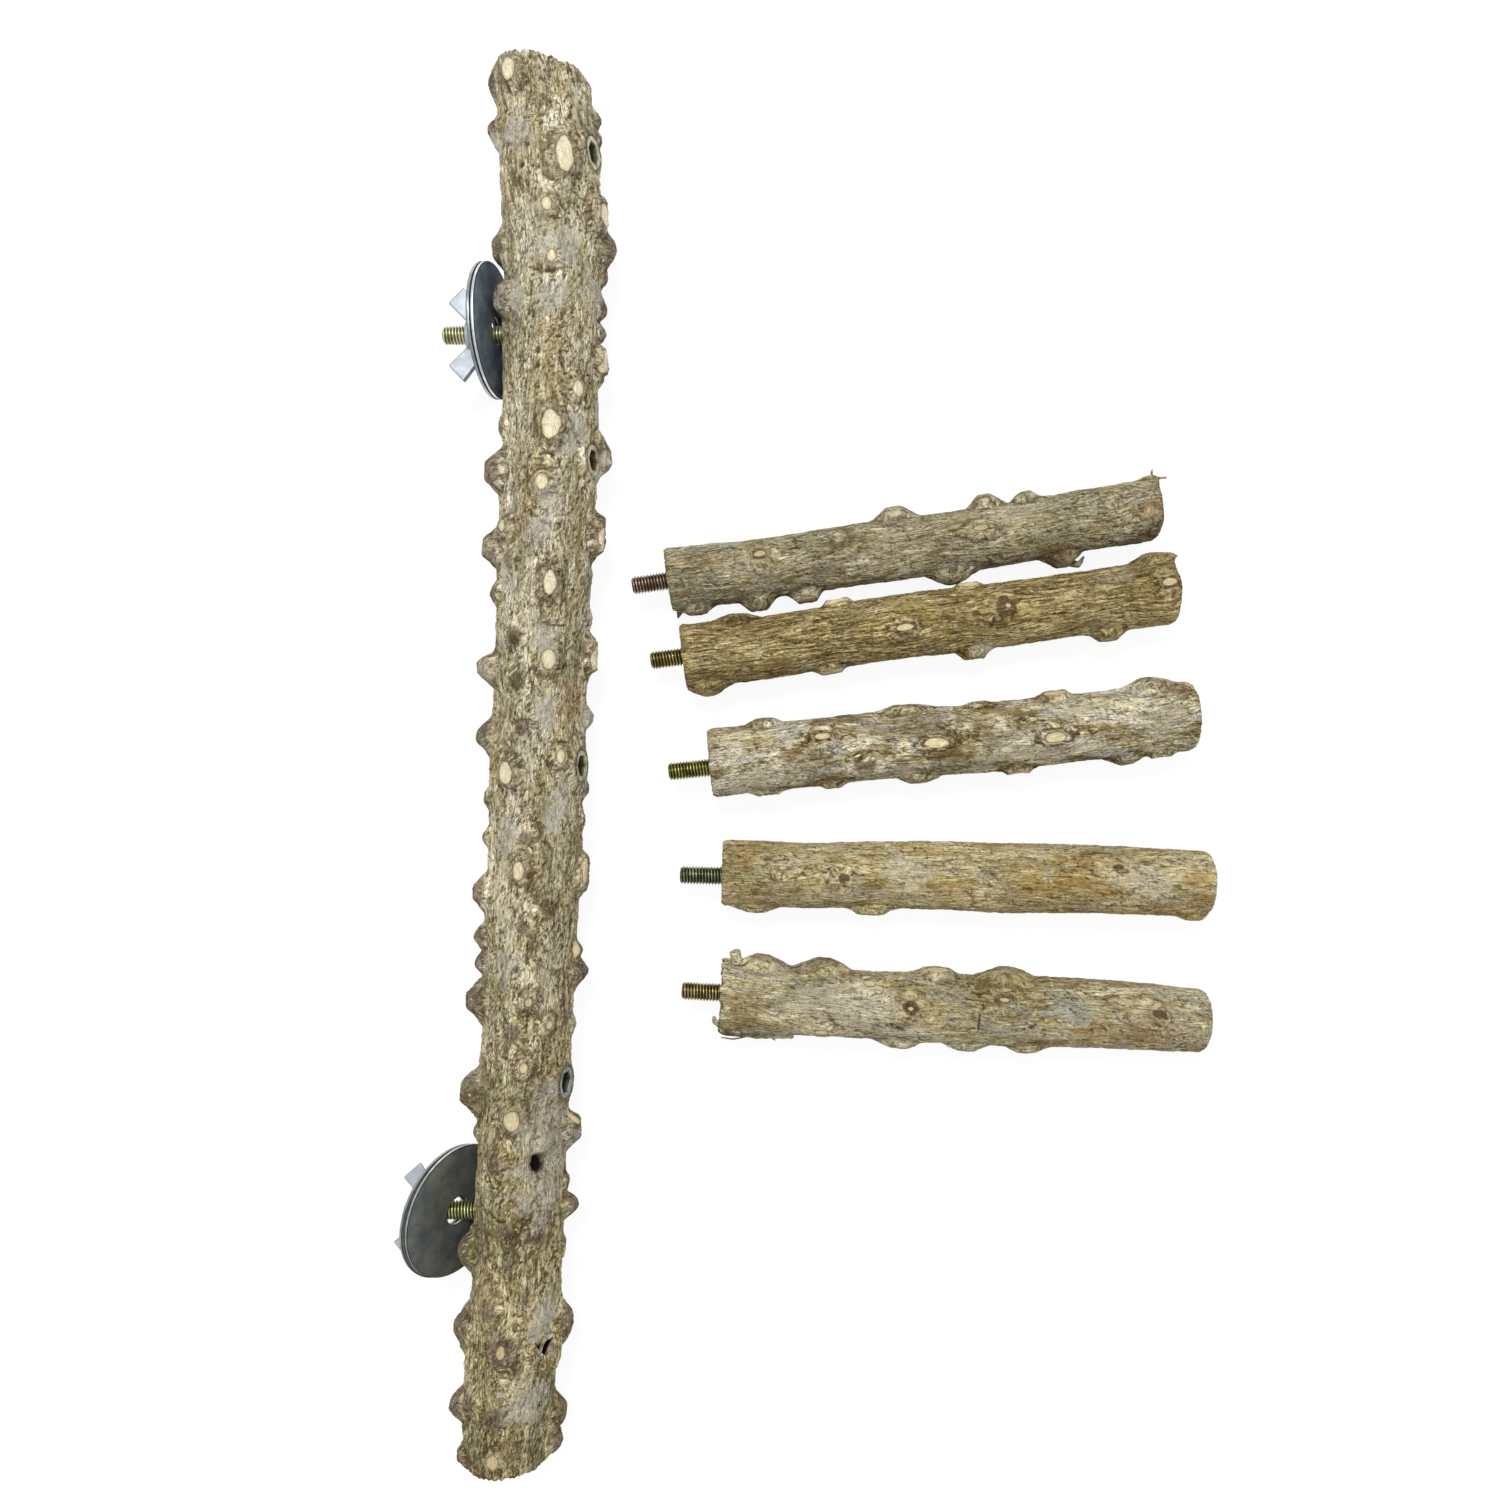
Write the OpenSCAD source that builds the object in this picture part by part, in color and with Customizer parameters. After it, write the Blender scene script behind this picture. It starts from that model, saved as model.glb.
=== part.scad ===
/* [Trunk] */
// Length of the trunk
trunk_l = 445; // [380:1:560]
// Diameter of the trunk between its knobs
trunk_d = 31; // [26:0.5:36]
// Height of the trunk's axis over the table that the kit lies on
trunk_z = 20; // [19:0.5:26]

/* [Threaded inserts] */
// Outer diameter of a threaded insert
insert_d = 10; // [9:0.1:11]
// Length of a threaded insert
insert_l = 13; // [10:0.5:14]
// Width across flats of its hexagon socket
insert_key_w = 6.2; // [6.2:0.1:7]
// Depth of its hexagon socket
insert_key_depth = 4; // [2:0.5:5]

/* [Thread] */
// Major diameter of the metal studs and of the bolts
thread_d = 5.9; // [4:0.1:5.9]
// Clearance between a stud and a bore, on the diameter
thread_clear = 0.1; // [0.06:0.02:0.2]

/* [Clamps] */
// Distance between the two clamp bolts along the trunk
clamp_pitch = 279.5; // [200:0.5:300]
// Length of a clamp bolt from end to end
bolt_l = 40; // [38:1:48]
// Distance from the trunk's axis to the free tip of the upper bolt
upper_bolt_reach = 34.5; // [34:0.5:38]
// Distance from the trunk's axis to the free tip of the lower bolt
lower_bolt_reach = 36.5; // [36:0.5:40]
// Diameter of a clamp washer
washer_d = 42; // [30:0.5:42]
// Diameter of the hole in a clamp washer
washer_hole_d = 9; // [8.6:0.1:10]
// Thickness of a clamp washer
washer_t = 1.2; // [0.8:0.1:1.5]

/* [Wing nuts] */
// Height of a wing nut's hub
hub_h = 6.4; // [5:0.1:7]
// Diameter of the hub at its foot
hub_d = 11.4; // [10:0.1:13]
// Span of the wings
wing_span = 30; // [26:0.5:34]
// Height of the wings over the hub's foot
wing_h = 12.4; // [10:0.2:14]
// Thickness of a wing
wing_t = 2.8; // [1.5:0.1:3.5]

/* [Branches] */
// Length of a branch perch
branch_l = 160; // [120:1:180]
// Diameter of branch 1
branch_1_d = 20.2; // [16:0.1:22]
// Diameter of branch 2
branch_2_d = 21.2; // [16:0.1:22]
// Diameter of branch 3
branch_3_d = 22.6; // [16:0.1:24]
// Diameter of branch 4
branch_4_d = 22.2; // [16:0.1:24]
// Diameter of branch 5
branch_5_d = 22.4; // [16:0.1:24]
// Length of a branch stud's wood thread inside its branch
stud_bite = 16; // [8:0.5:24]
// Free length of the stud on branch 1
stud_1_out = 11.8; // [6:0.1:14]
// Free length of the stud on branch 2
stud_2_out = 10.6; // [6:0.1:14]
// Free length of the stud on branch 3
stud_3_out = 13.6; // [6:0.1:14]
// Free length of the stud on branch 4
stud_4_out = 13.6; // [6:0.1:14]
// Free length of the stud on branch 5
stud_5_out = 12.4; // [6:0.1:14]

/* [Hidden] */

bark = [0.56, 0.51, 0.38];
bark_grey = [0.60, 0.57, 0.47];
bright_zinc = [0.78, 0.80, 0.82];
yellow_zinc = [0.72, 0.66, 0.30];
grey_steel = [0.50, 0.51, 0.48];
dark_steel = [0.26, 0.28, 0.31];

// One overrun serves every cut, and one gap every pair of pieces that slide on each other
overrun = 1;
run_gap = 0.1;
// Clearance round a threaded insert in its seat, on the diameter
seat_clear = 0.1;
bore_d = thread_d + thread_clear;
seat_d = insert_d + seat_clear;

// The trunk's reference line lies this share of its length to the left of the layout's middle
trunk_place_share = -0.1947;
trunk_x = trunk_place_share * trunk_l;
trunk_rings = 116;
trunk_sides = 26;
branch_rings = 34;
branch_sides = 16;
// A log's section is slightly oval and three-sided, and both lobes twist round it along its length
oval_share = 0.022;
oval_twist = 500;
lobe_share = 0.016;
lobe_twist = 900;
// The slope of a sawn end dies out over this share of the log
slant_reach_share = 0.125;

// Trunk outline, from its lower end to its upper end in even steps
trunk_bow_shares = [
    -0.0210, -0.0192, -0.0149, -0.0117, -0.0095, -0.0065, -0.0029, -0.0002,
    0.0014, 0.0034, 0.0063, 0.0099, 0.0099, 0.0129, 0.0090, 0.0034
];
trunk_girth_shares = [
    0.90, 0.94, 0.94, 0.94, 0.93, 0.93, 0.95, 0.94,
    0.94, 0.94, 0.96, 0.99, 1.00, 1.03, 1.04, 0.98
];
// Slope of the sawn lower and upper end across the trunk
trunk_slants = [0.10, -0.12];

// A knob is its place along the log, its angle round the log from the top, its height, its half
// length along the log, its half width in degrees and how much of it is sawn flat. The place is a
// share of the log's length, the height and the half length are shares of the log's diameter.
trunk_left_shares = [
    [0.986, -82, 0.08, 0.20, 26, 0], [0.951, -78, 0.10, 0.18, 24, 0],
    [0.868, -84, 0.12, 0.24, 26, 0.2], [0.830, -62, 0.11, 0.22, 24, 0.3],
    [0.741, -78, 0.05, 0.16, 22, 0], [0.710, -80, 0.18, 0.26, 26, 0.2],
    [0.656, -80, 0.16, 0.24, 26, 0.2], [0.623, -76, 0.07, 0.16, 22, 0],
    [0.570, -80, 0.18, 0.22, 26, 0.1], [0.521, -80, 0.15, 0.24, 26, 0],
    [0.477, -78, 0.05, 0.14, 20, 0], [0.449, -82, 0.06, 0.14, 20, 0],
    [0.410, -80, 0.13, 0.22, 24, 0.2], [0.378, -82, 0.12, 0.16, 22, 0],
    [0.360, -80, 0.09, 0.14, 22, 0], [0.333, -82, 0.16, 0.24, 26, 0.2],
    [0.268, -80, 0.19, 0.28, 28, 0.2], [0.240, -80, 0.05, 0.12, 20, 0],
    [0.155, -80, 0.15, 0.24, 26, 0.1], [0.101, -80, 0.15, 0.26, 28, 0],
    [0.045, -80, 0.15, 0.20, 26, 0], [0.008, -80, 0.06, 0.14, 24, 0.3]
];
trunk_right_shares = [
    [0.972, 100, 0.08, 0.14, 22, 0], [0.957, 102, 0.06, 0.14, 22, 0],
    [0.890, 68, 0.09, 0.30, 20, 0.5], [0.873, 98, 0.14, 0.28, 28, 0],
    [0.853, 100, 0.07, 0.16, 24, 0], [0.830, 100, 0.08, 0.16, 24, 0],
    [0.811, 98, 0.08, 0.14, 22, 0], [0.791, 92, 0.10, 0.20, 22, 0.5],
    [0.779, 100, 0.07, 0.12, 22, 0], [0.723, 102, 0.15, 0.26, 28, 0.1],
    [0.666, 94, 0.12, 0.28, 24, 0.5], [0.605, 98, 0.04, 0.14, 20, 0],
    [0.579, 94, 0.10, 0.26, 22, 0.5], [0.535, 98, 0.08, 0.16, 22, 0],
    [0.483, 102, 0.07, 0.14, 22, 0], [0.461, 98, 0.03, 0.12, 20, 0],
    [0.423, 90, 0.08, 0.28, 22, 0.5], [0.367, 98, 0.07, 0.12, 22, 0],
    [0.351, 99, 0.14, 0.20, 26, 0], [0.314, 98, 0.04, 0.12, 20, 0],
    [0.239, 96, 0.14, 0.22, 26, 0.3], [0.200, 98, 0.05, 0.12, 20, 0],
    [0.183, 98, 0.15, 0.16, 24, 0], [0.156, 98, 0.03, 0.12, 20, 0],
    [0.096, 102, 0.16, 0.34, 30, 0.1], [0.028, 98, 0.13, 0.26, 28, 0.2],
    [0.008, 96, 0.13, 0.20, 28, 0]
];
trunk_front_shares = [
    [0.983, -28, 0.07, 0.22, 18, 0.5], [0.923, 22, 0.09, 0.34, 20, 0.5],
    [0.887, 2, 0.06, 0.14, 14, 0.5], [0.851, 6, 0.05, 0.14, 13, 0.5],
    [0.762, 38, 0.05, 0.16, 15, 0.5], [0.735, 9, 0.09, 0.26, 19, 0.5],
    [0.696, 2, 0.07, 0.18, 17, 0.5], [0.668, -46, 0.07, 0.16, 16, 0.5],
    [0.627, 16, 0.08, 0.22, 18, 0.5], [0.574, 18, 0.07, 0.20, 17, 0.5],
    [0.507, 35, 0.05, 0.15, 14, 0.5], [0.495, -27, 0.08, 0.22, 18, 0.5],
    [0.428, -8, 0.07, 0.20, 16, 0.5], [0.337, 10, 0.06, 0.14, 14, 0.5],
    [0.320, 35, 0.06, 0.14, 14, 0.5], [0.292, 8, 0.06, 0.14, 14, 0.5],
    [0.256, -2, 0.08, 0.20, 19, 0.5], [0.155, 74, 0.05, 0.12, 14, 0.4],
    [0.096, -2, 0.10, 0.26, 22, 0.4], [0.016, -8, 0.05, 0.14, 18, 0.5],
    [0.644, -38, 0.06, 0.16, 16, 0], [0.590, -25, 0.06, 0.16, 16, 0],
    [0.560, -19, 0.06, 0.14, 16, 0], [0.528, -10, 0.06, 0.16, 16, 0],
    [0.450, -3, 0.05, 0.14, 15, 0], [0.402, 26, 0.06, 0.14, 16, 0],
    [0.389, -2, 0.05, 0.13, 15, 0], [0.315, -8, 0.06, 0.15, 16, 0],
    [0.277, 31, 0.05, 0.13, 15, 0], [0.238, 40, 0.06, 0.14, 15, 0],
    [0.225, -22, 0.06, 0.16, 16, 0.2], [0.194, 14, 0.05, 0.12, 15, 0],
    [0.180, -8, 0.06, 0.13, 15, 0], [0.174, 33, 0.06, 0.14, 16, 0],
    [0.123, -24, 0.06, 0.16, 18, 0], [0.080, 14, 0.05, 0.14, 16, 0],
    [0.047, -8, 0.07, 0.18, 20, 0.2], [0.054, -48, 0.06, 0.16, 18, 0]
];
trunk_back_shares = [
    [0.955, 176, 0.10, 0.24, 24, 0.3], [0.915, -142, 0.10, 0.22, 24, 0.2],
    [0.886, 142, 0.09, 0.20, 22, 0.3], [0.766, 184, 0.11, 0.26, 26, 0.4],
    [0.731, 140, 0.09, 0.22, 24, 0.2], [0.691, -146, 0.08, 0.22, 24, 0.2],
    [0.642, 172, 0.12, 0.24, 24, 0.4], [0.602, 136, 0.09, 0.20, 22, 0.2],
    [0.562, -140, 0.10, 0.22, 24, 0.3], [0.522, 180, 0.12, 0.26, 26, 0.4],
    [0.472, 142, 0.10, 0.22, 24, 0.2], [0.433, -144, 0.09, 0.22, 24, 0.2],
    [0.393, 176, 0.13, 0.26, 26, 0.4], [0.348, 138, 0.09, 0.20, 22, 0.2],
    [0.303, -142, 0.10, 0.22, 24, 0.2], [0.265, 182, 0.13, 0.26, 26, 0.4],
    [0.228, 142, 0.10, 0.22, 24, 0.2], [0.124, 174, 0.13, 0.26, 26, 0.4],
    [0.099, -140, 0.09, 0.20, 22, 0.2], [0.064, 142, 0.10, 0.22, 24, 0.2],
    [0.030, 184, 0.10, 0.20, 24, 0.3]
];
trunk_knobs = concat(trunk_left_shares, trunk_right_shares, trunk_front_shares, trunk_back_shares);

// Threaded inserts: place along the trunk as a share of its length, and angle round it
insert_place_shares = [0.935, 0.717, 0.500, 0.275, 0.089];
insert_angles = [72, 74, 77, 74, 58];
// Share of the trunk's diameter from its axis to the mouth of each insert
insert_mouth_shares = [0.50, 0.49, 0.48, 0.47, 0.49];

// The upper clamp bolt's place along the trunk; both bolts point straight to the left
upper_clamp_share = 0.809;
upper_clamp_y = upper_clamp_share * trunk_l;
clamp_y = [upper_clamp_y, upper_clamp_y - clamp_pitch];
bolt_reach = [upper_bolt_reach, lower_bolt_reach];
// Distance of each inner washer's middle from the trunk's axis, as a share of the trunk's diameter
clamp_stand_shares = [0.575, 0.65];
// How far each pair of washers leans up from the bolt, and how far it turns
washer_leans = [8, 33];
washer_turns = [-1, 7];
// The washers' middle, off the bolt's axis, as shares of their radial play
washer_play_y_shares = [0.6, 0];
washer_play_z_shares = [0.62, 0];
// Each wing nut is turned this far round its bolt
nut_turns = [0, 35];

// Wing outline as shares of the wings' half span across and of their height along the bolt
wing_shares = [[0.10, 0.06], [0.42, 0.06], [1, 0.605], [0.67, 1], [0.22, 0.44], [0.10, 0.44]];
wing_foot_r = norm([wing_shares[1][0] * wing_span, wing_t]) / 2;
wing_foot_h = wing_shares[1][1] * wing_h;

washer_play = (washer_hole_d - thread_d) / 2;
clamp_stand = [for (s = clamp_stand_shares) s * trunk_d];
washer_cos = [for (i = [0, 1]) cos(washer_leans[i]) * cos(washer_turns[i])];
// Step from one leaning washer's middle to the next along the bolt
washer_step = [for (c = washer_cos) (washer_t + run_gap) / c];
// The hub's foot and the wings clear the leaning face of the outer washer
nut_lift = [for (c = washer_cos)
    max(hub_d / 2 * tan(acos(c)), wing_foot_r * tan(acos(c)) - wing_foot_h) +
        washer_t / 2 / c + run_gap];
nut_stand = [for (i = [0, 1]) clamp_stand[i] + washer_step[i] + nut_lift[i]];
washer_edge_share = 0.2;
washer_edge = washer_edge_share * washer_t;

wing_round_share = 0.035;
hub_top_share = 0.84;
hub_foot_share = 0.16;
tip_chamfer_share = 0.14;
point_share = 0.9;
wood_thread_share = 0.92;
// A clamp bolt's wood thread starts this share of the trunk's diameter from the trunk's axis
bolt_start_share = 0.42;
lip_chamfer_share = 0.05;

// Branch outlines, from the stud's end to the free end in even steps
branch_ds = [branch_1_d, branch_2_d, branch_3_d, branch_4_d, branch_5_d];
// Each branch is sawn by hand to about the same length
branch_cut_shares = [1, 1, 0.98, 0.985, 0.98];
branch_ls = [for (s = branch_cut_shares) s * branch_l];
stud_outs = [stud_1_out, stud_2_out, stud_3_out, stud_4_out, stud_5_out];
branch_girth_shares = [
    [1.03, 1.01, 0.98, 0.98, 0.98, 1, 1.02],
    [1.02, 0.99, 0.98, 0.98, 0.98, 1, 1.06],
    [1, 1, 0.98, 0.97, 0.98, 1, 1.02],
    [0.96, 0.97, 0.99, 0.99, 1, 1.01, 0.99],
    [1.10, 1.02, 0.99, 0.99, 0.99, 0.98, 0.93]
];
branch_bow_shares = [
    [0, 0.004, 0.004, 0.006, 0.008, 0.004, 0],
    [0.003, 0.004, 0, -0.002, 0, 0, -0.004],
    [0, -0.004, -0.004, 0, 0, 0, -0.004],
    [0, 0, -0.003, -0.004, -0.003, -0.002, 0],
    [0, 0.003, 0.006, 0.003, 0, -0.002, 0]
];
// The middle of each sawn stud end, right of the layout's middle as a share of the trunk's length,
// and that of branch 1 above it in the same way; the step down from each branch to the next is a
// share of their mean diameter
branch_place_x_shares = [-0.1019, -0.0909, -0.0711, -0.0624, -0.0639];
branch_1_place_y_share = 0.1355;
branch_step_shares = [1.197, 1.603, 1.585, 1.758];
// Each branch's turn in the plane of the table and its axis height as a share of its diameter
branch_turns = [8.4, 7.5, 5.6, -1.2, -3.1];
branch_stand_shares = [0.565, 0.578, 0.575, 0.550, 0.590];
// Offset of each stud from its branch's axis, as a share of the branch's diameter
stud_offset_shares = [0, 0.02, -0.05, -0.04, 0.02];

branch_1_shares = [
    [0.05, 92, 0.10, 0.26, 26, 0.3], [0.174, 92, 0.17, 0.28, 30, 0.2],
    [0.275, 92, 0.15, 0.26, 28, 0.4], [0.574, 90, 0.185, 0.40, 32, 0],
    [0.80, 92, 0.20, 0.32, 30, 0.1], [0.475, -88, 0.18, 0.36, 32, 0.2],
    [0.663, -88, 0.22, 0.30, 28, 0.1], [0.745, -88, 0.14, 0.26, 26, 0.1],
    [0.985, -80, 0.05, 0.12, 24, 0], [0.19, -16, 0.07, 0.30, 26, 0.3],
    [0.35, -34, 0.05, 0.18, 18, 0.5], [0.634, -10, 0.06, 0.30, 20, 0.5],
    [0.32, 176, 0.08, 0.26, 28, 0.3], [0.70, 184, 0.08, 0.26, 28, 0.3],
    [0.90, -30, 0.05, 0.22, 22, 0.2], [0.97, 30, 0.06, 0.20, 26, 0.1]
];
branch_2_shares = [
    [0.119, -86, 0.08, 0.34, 28, 0.2], [0.325, -88, 0.08, 0.24, 26, 0.5],
    [0.593, -88, 0.06, 0.22, 24, 0.5], [0.964, -84, 0.11, 0.30, 30, 0],
    [0.4456, 8, 0.07, 0.28, 22, 0.5], [0.639, -6, 0.07, 0.26, 26, 0.3],
    [0.975, -10, 0.07, 0.22, 26, 0.4], [0.296, 90, 0.07, 0.24, 26, 0.5],
    [0.589, 92, 0.13, 0.26, 28, 0.4], [0.863, 92, 0.14, 0.30, 30, 0.2],
    [0.045, 94, 0.15, 0.34, 36, 0], [0.25, 180, 0.08, 0.26, 28, 0.3],
    [0.74, 178, 0.08, 0.26, 28, 0.3]
];
branch_3_shares = [
    [0.12, -86, 0.08, 0.26, 28, 0.2], [0.413, -86, 0.07, 0.40, 28, 0.2],
    [0.565, -86, 0.04, 0.22, 24, 0.2], [0.723, -84, 0.07, 0.24, 26, 0.5],
    [0.917, -84, 0.13, 0.40, 34, 0], [0.233, -22, 0.06, 0.26, 22, 0.5],
    [0.4615, 2, 0.06, 0.28, 22, 0.5], [0.70, 10, 0.06, 0.28, 22, 0.5],
    [0.312, 34, 0.04, 0.20, 20, 0.2], [0.115, 92, 0.05, 0.24, 26, 0.4],
    [0.251, 92, 0.05, 0.20, 26, 0.4], [0.429, 92, 0.10, 0.28, 28, 0.2],
    [0.634, 92, 0.07, 0.26, 26, 0.4], [0.86, 92, 0.11, 0.30, 30, 0.1],
    [0.933, 94, 0.06, 0.22, 26, 0.4], [0.28, 178, 0.08, 0.26, 28, 0.3],
    [0.72, 182, 0.08, 0.26, 28, 0.3]
];
branch_4_shares = [
    [0.123, -16, 0.04, 0.20, 20, 0.5], [0.24, 2, 0.03, 0.20, 22, 0.2],
    [0.778, -26, 0.03, 0.18, 20, 0.5], [0.07, 92, 0.10, 0.34, 30, 0.2],
    [0.31, 92, 0.10, 0.30, 28, 0.4], [0.974, 92, 0.06, 0.26, 28, 0.2],
    [0.35, 180, 0.05, 0.30, 30, 0.3], [0.75, 178, 0.05, 0.30, 30, 0.3]
];
branch_5_shares = [
    [0.073, -86, 0.11, 0.34, 30, 0.1], [0.212, -86, 0.16, 0.34, 30, 0.1],
    [0.445, -84, 0.08, 0.26, 26, 0.5], [0.589, -84, 0.14, 0.36, 30, 0.1],
    [0.303, -44, 0.05, 0.20, 20, 0.5], [0.376, -12, 0.07, 0.26, 24, 0.4],
    [0.575, -26, 0.06, 0.26, 24, 0.4], [0.866, -14, 0.06, 0.24, 24, 0.3],
    [0.211, 44, 0.05, 0.22, 22, 0.5], [0.375, 92, 0.11, 0.30, 28, 0.2],
    [0.512, 92, 0.11, 0.28, 28, 0.1], [0.64, 92, 0.10, 0.28, 28, 0.2],
    [0.03, 96, 0.08, 0.36, 40, 0], [0.27, 180, 0.09, 0.26, 28, 0.3],
    [0.78, 178, 0.09, 0.26, 28, 0.3]
];
branch_knobs = [
    branch_1_shares, branch_2_shares, branch_3_shares, branch_4_shares, branch_5_shares
];

// Value of an even table at t from 0 to 1
function along(table, t) =
    let (n = len(table) - 1, i = min(n - 1, floor(t * n)), f = t * n - i)
    table[i] * (1 - f) + table[i + 1] * f;

// Shortest angle from b to a
function turn_between(a, b) = let (d = a - b) d - 360 * round(d / 360);

// Height of a knob at distance e from its middle, with its crown sawn flat
function knob_rise(e, flat) = e >= 1 ? 0 : min(1, pow(1 - e * e, 2) / (1 - flat));

// Radius of a log at t along it and at angle a round it
function log_radius(l, d, girths, knobs, t, a) =
    d / 2 * along(girths, t) *
        (1 + oval_share * sin(2 * a + oval_twist * t) + lobe_share * sin(3 * a - lobe_twist * t)) +
    d * max([for (k = knobs)
        let (u = (t - k[0]) * l / (k[3] * d))
        abs(u) >= 1 ? 0 : k[2] * knob_rise(norm([u, turn_between(a, k[1]) / k[4]]), k[5])]);

// Shift along the log of a point x from its middle: a sawn end's slope fades out into the log and
// its furthest corner stays on the log's length
function end_shift(slants, t, x, d) =
    let (low = slants[0] * max(0, 1 - t / slant_reach_share),
         high = slants[1] * max(0, 1 - (1 - t) / slant_reach_share))
    (low + high) * x + (abs(low) - abs(high)) * d / 2;

// A log along +Y from the origin, sawn at both ends
module log_solid(l, d, rings, sides, girths, bows, slants, knobs) {
    points = [for (i = [0:rings - 1], j = [0:sides - 1])
        let (t = i / (rings - 1), a = 360 * j / sides,
             r = log_radius(l, d, girths, knobs, t, a))
        [along(bows, t) * l + r * sin(a), t * l + end_shift(slants, t, r * sin(a), d), r * cos(a)]];
    walls = [for (i = [0:rings - 2], j = [0:sides - 1], k = [0, 1])
        let (a = i * sides + j, b = i * sides + (j + 1) % sides)
        k == 0 ? [a, b + sides, b] : [a, a + sides, b + sides]];
    foot = [for (j = [0:sides - 1]) j];
    head = [for (j = [0:sides - 1]) rings * sides - 1 - j];
    polyhedron(points, concat(walls, [foot, head]));
}

// A rod along +Z with a chamfered free tip at out and a slimmer, pointed wood thread from start
// down to -bite
module double_stud(out, start, bite) {
    r = thread_d / 2;
    wood_r = wood_thread_share * r;
    point = point_share * thread_d;
    chamfer = tip_chamfer_share * thread_d;
    rotate_extrude($fn = 48) polygon([
        [0, -bite], [wood_r, point - bite], [wood_r, start], [r, start], [r, out - chamfer],
        [r - chamfer, out], [0, out]]);
}

// The drilled hole for a double stud's wood thread
module stud_hole(bite) {
    translate([0, 0, -bite]) cylinder(d = bore_d, h = bite + trunk_d, $fn = 48);
}

// Stands a piece drawn along +Z at the mouth of threaded insert i, pointing out of the trunk
module at_insert(i) {
    t = insert_place_shares[i];
    translate([trunk_x + along(trunk_bow_shares, t) * trunk_l, (t - 1 / 2) * trunk_l, trunk_z])
        rotate([0, insert_angles[i], 0])
            translate([0, 0, insert_mouth_shares[i] * trunk_d]) children();
}

// Stands a piece drawn along +Z on clamp bolt i, with the trunk's axis at its origin
module at_clamp(i) {
    t = clamp_y[i] / trunk_l;
    translate([trunk_x + along(trunk_bow_shares, t) * trunk_l, clamp_y[i] - trunk_l / 2, trunk_z])
        rotate([0, -90, 0]) children();
}

// Distance of the stud end of branch i above the layout's middle
function branch_y(i) = i == 0 ? branch_1_place_y_share * trunk_l :
    branch_y(i - 1) - branch_step_shares[i - 1] * (branch_ds[i - 1] + branch_ds[i]) / 2;

// Lays a piece drawn along +Y from its stud end where branch i lies
module at_branch(i) {
    translate([branch_place_x_shares[i] * trunk_l, branch_y(i),
               branch_stand_shares[i] * branch_ds[i]])
        rotate([0, 0, branch_turns[i] - 90]) children();
}

// Stands a piece drawn along +Z at the stud end of branch i, pointing out of the branch
module at_stud(i) {
    middle = along(branch_bow_shares[i], 0) * branch_ls[i];
    at_branch(i)
        translate([middle - stud_offset_shares[i] * branch_ds[i], 0, 0])
            rotate([90, 0, 0]) children();
}

module trunk() {
    color(bark) difference() {
        translate([trunk_x, -trunk_l / 2, trunk_z])
            log_solid(trunk_l, trunk_d, trunk_rings, trunk_sides, trunk_girth_shares,
                      trunk_bow_shares, trunk_slants, trunk_knobs);
        for (i = [0:4]) at_insert(i)
            translate([0, 0, -insert_l - seat_clear])
                cylinder(d = seat_d, h = insert_l + trunk_d / 2, $fn = 48);
        for (i = [0, 1]) at_clamp(i) stud_hole(bolt_l - bolt_reach[i] + run_gap);
    }
}

// Hexagon socket at the mouth, clear thread bore below it
module threaded_insert(i) {
    chamfer = lip_chamfer_share * insert_d;
    color(grey_steel) at_insert(i) translate([0, 0, -insert_l]) difference() {
        rotate_extrude($fn = 48) polygon([
            [0, 0], [insert_d / 2 - chamfer, 0], [insert_d / 2, chamfer],
            [insert_d / 2, insert_l - chamfer], [insert_d / 2 - chamfer, insert_l], [0, insert_l]]);
        translate([0, 0, -overrun])
            cylinder(d = bore_d, h = insert_l + 2 * overrun, $fn = 48);
        translate([0, 0, insert_l - insert_key_depth])
            cylinder(d = insert_key_w / cos(30), h = insert_key_depth + overrun, $fn = 6);
    }
}

module hanger_bolt(i) {
    color(yellow_zinc) at_clamp(i)
        double_stud(bolt_reach[i], bolt_start_share * trunk_d, bolt_l - bolt_reach[i]);
}

// Washer i of a clamp, step washers out from the innermost one, leaning on its bolt
module clamp_washer(i, step) {
    r = washer_d / 2;
    hole = washer_hole_d / 2;
    color(dark_steel) at_clamp(i)
        translate([washer_play * washer_play_z_shares[i], washer_play * washer_play_y_shares[i],
                   clamp_stand[i] + step * washer_step[i]])
            rotate([-washer_turns[i], -washer_leans[i], 0])
                translate([0, 0, -washer_t / 2]) rotate_extrude($fn = 96) polygon([
                    [hole + washer_edge, 0], [r - washer_edge, 0], [r, washer_edge],
                    [r, washer_t - washer_edge], [r - washer_edge, washer_t],
                    [hole + washer_edge, washer_t], [hole, washer_t - washer_edge],
                    [hole, washer_edge]]);
}

// One wing as a flat outline beside the bolt, drawn with the bolt along +Y
module wing_outline() {
    round_r = wing_round_share * wing_span;
    offset(r = round_r) offset(delta = -round_r)
        polygon([for (s = wing_shares) [s[0] * wing_span / 2, s[1] * wing_h]]);
}

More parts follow.
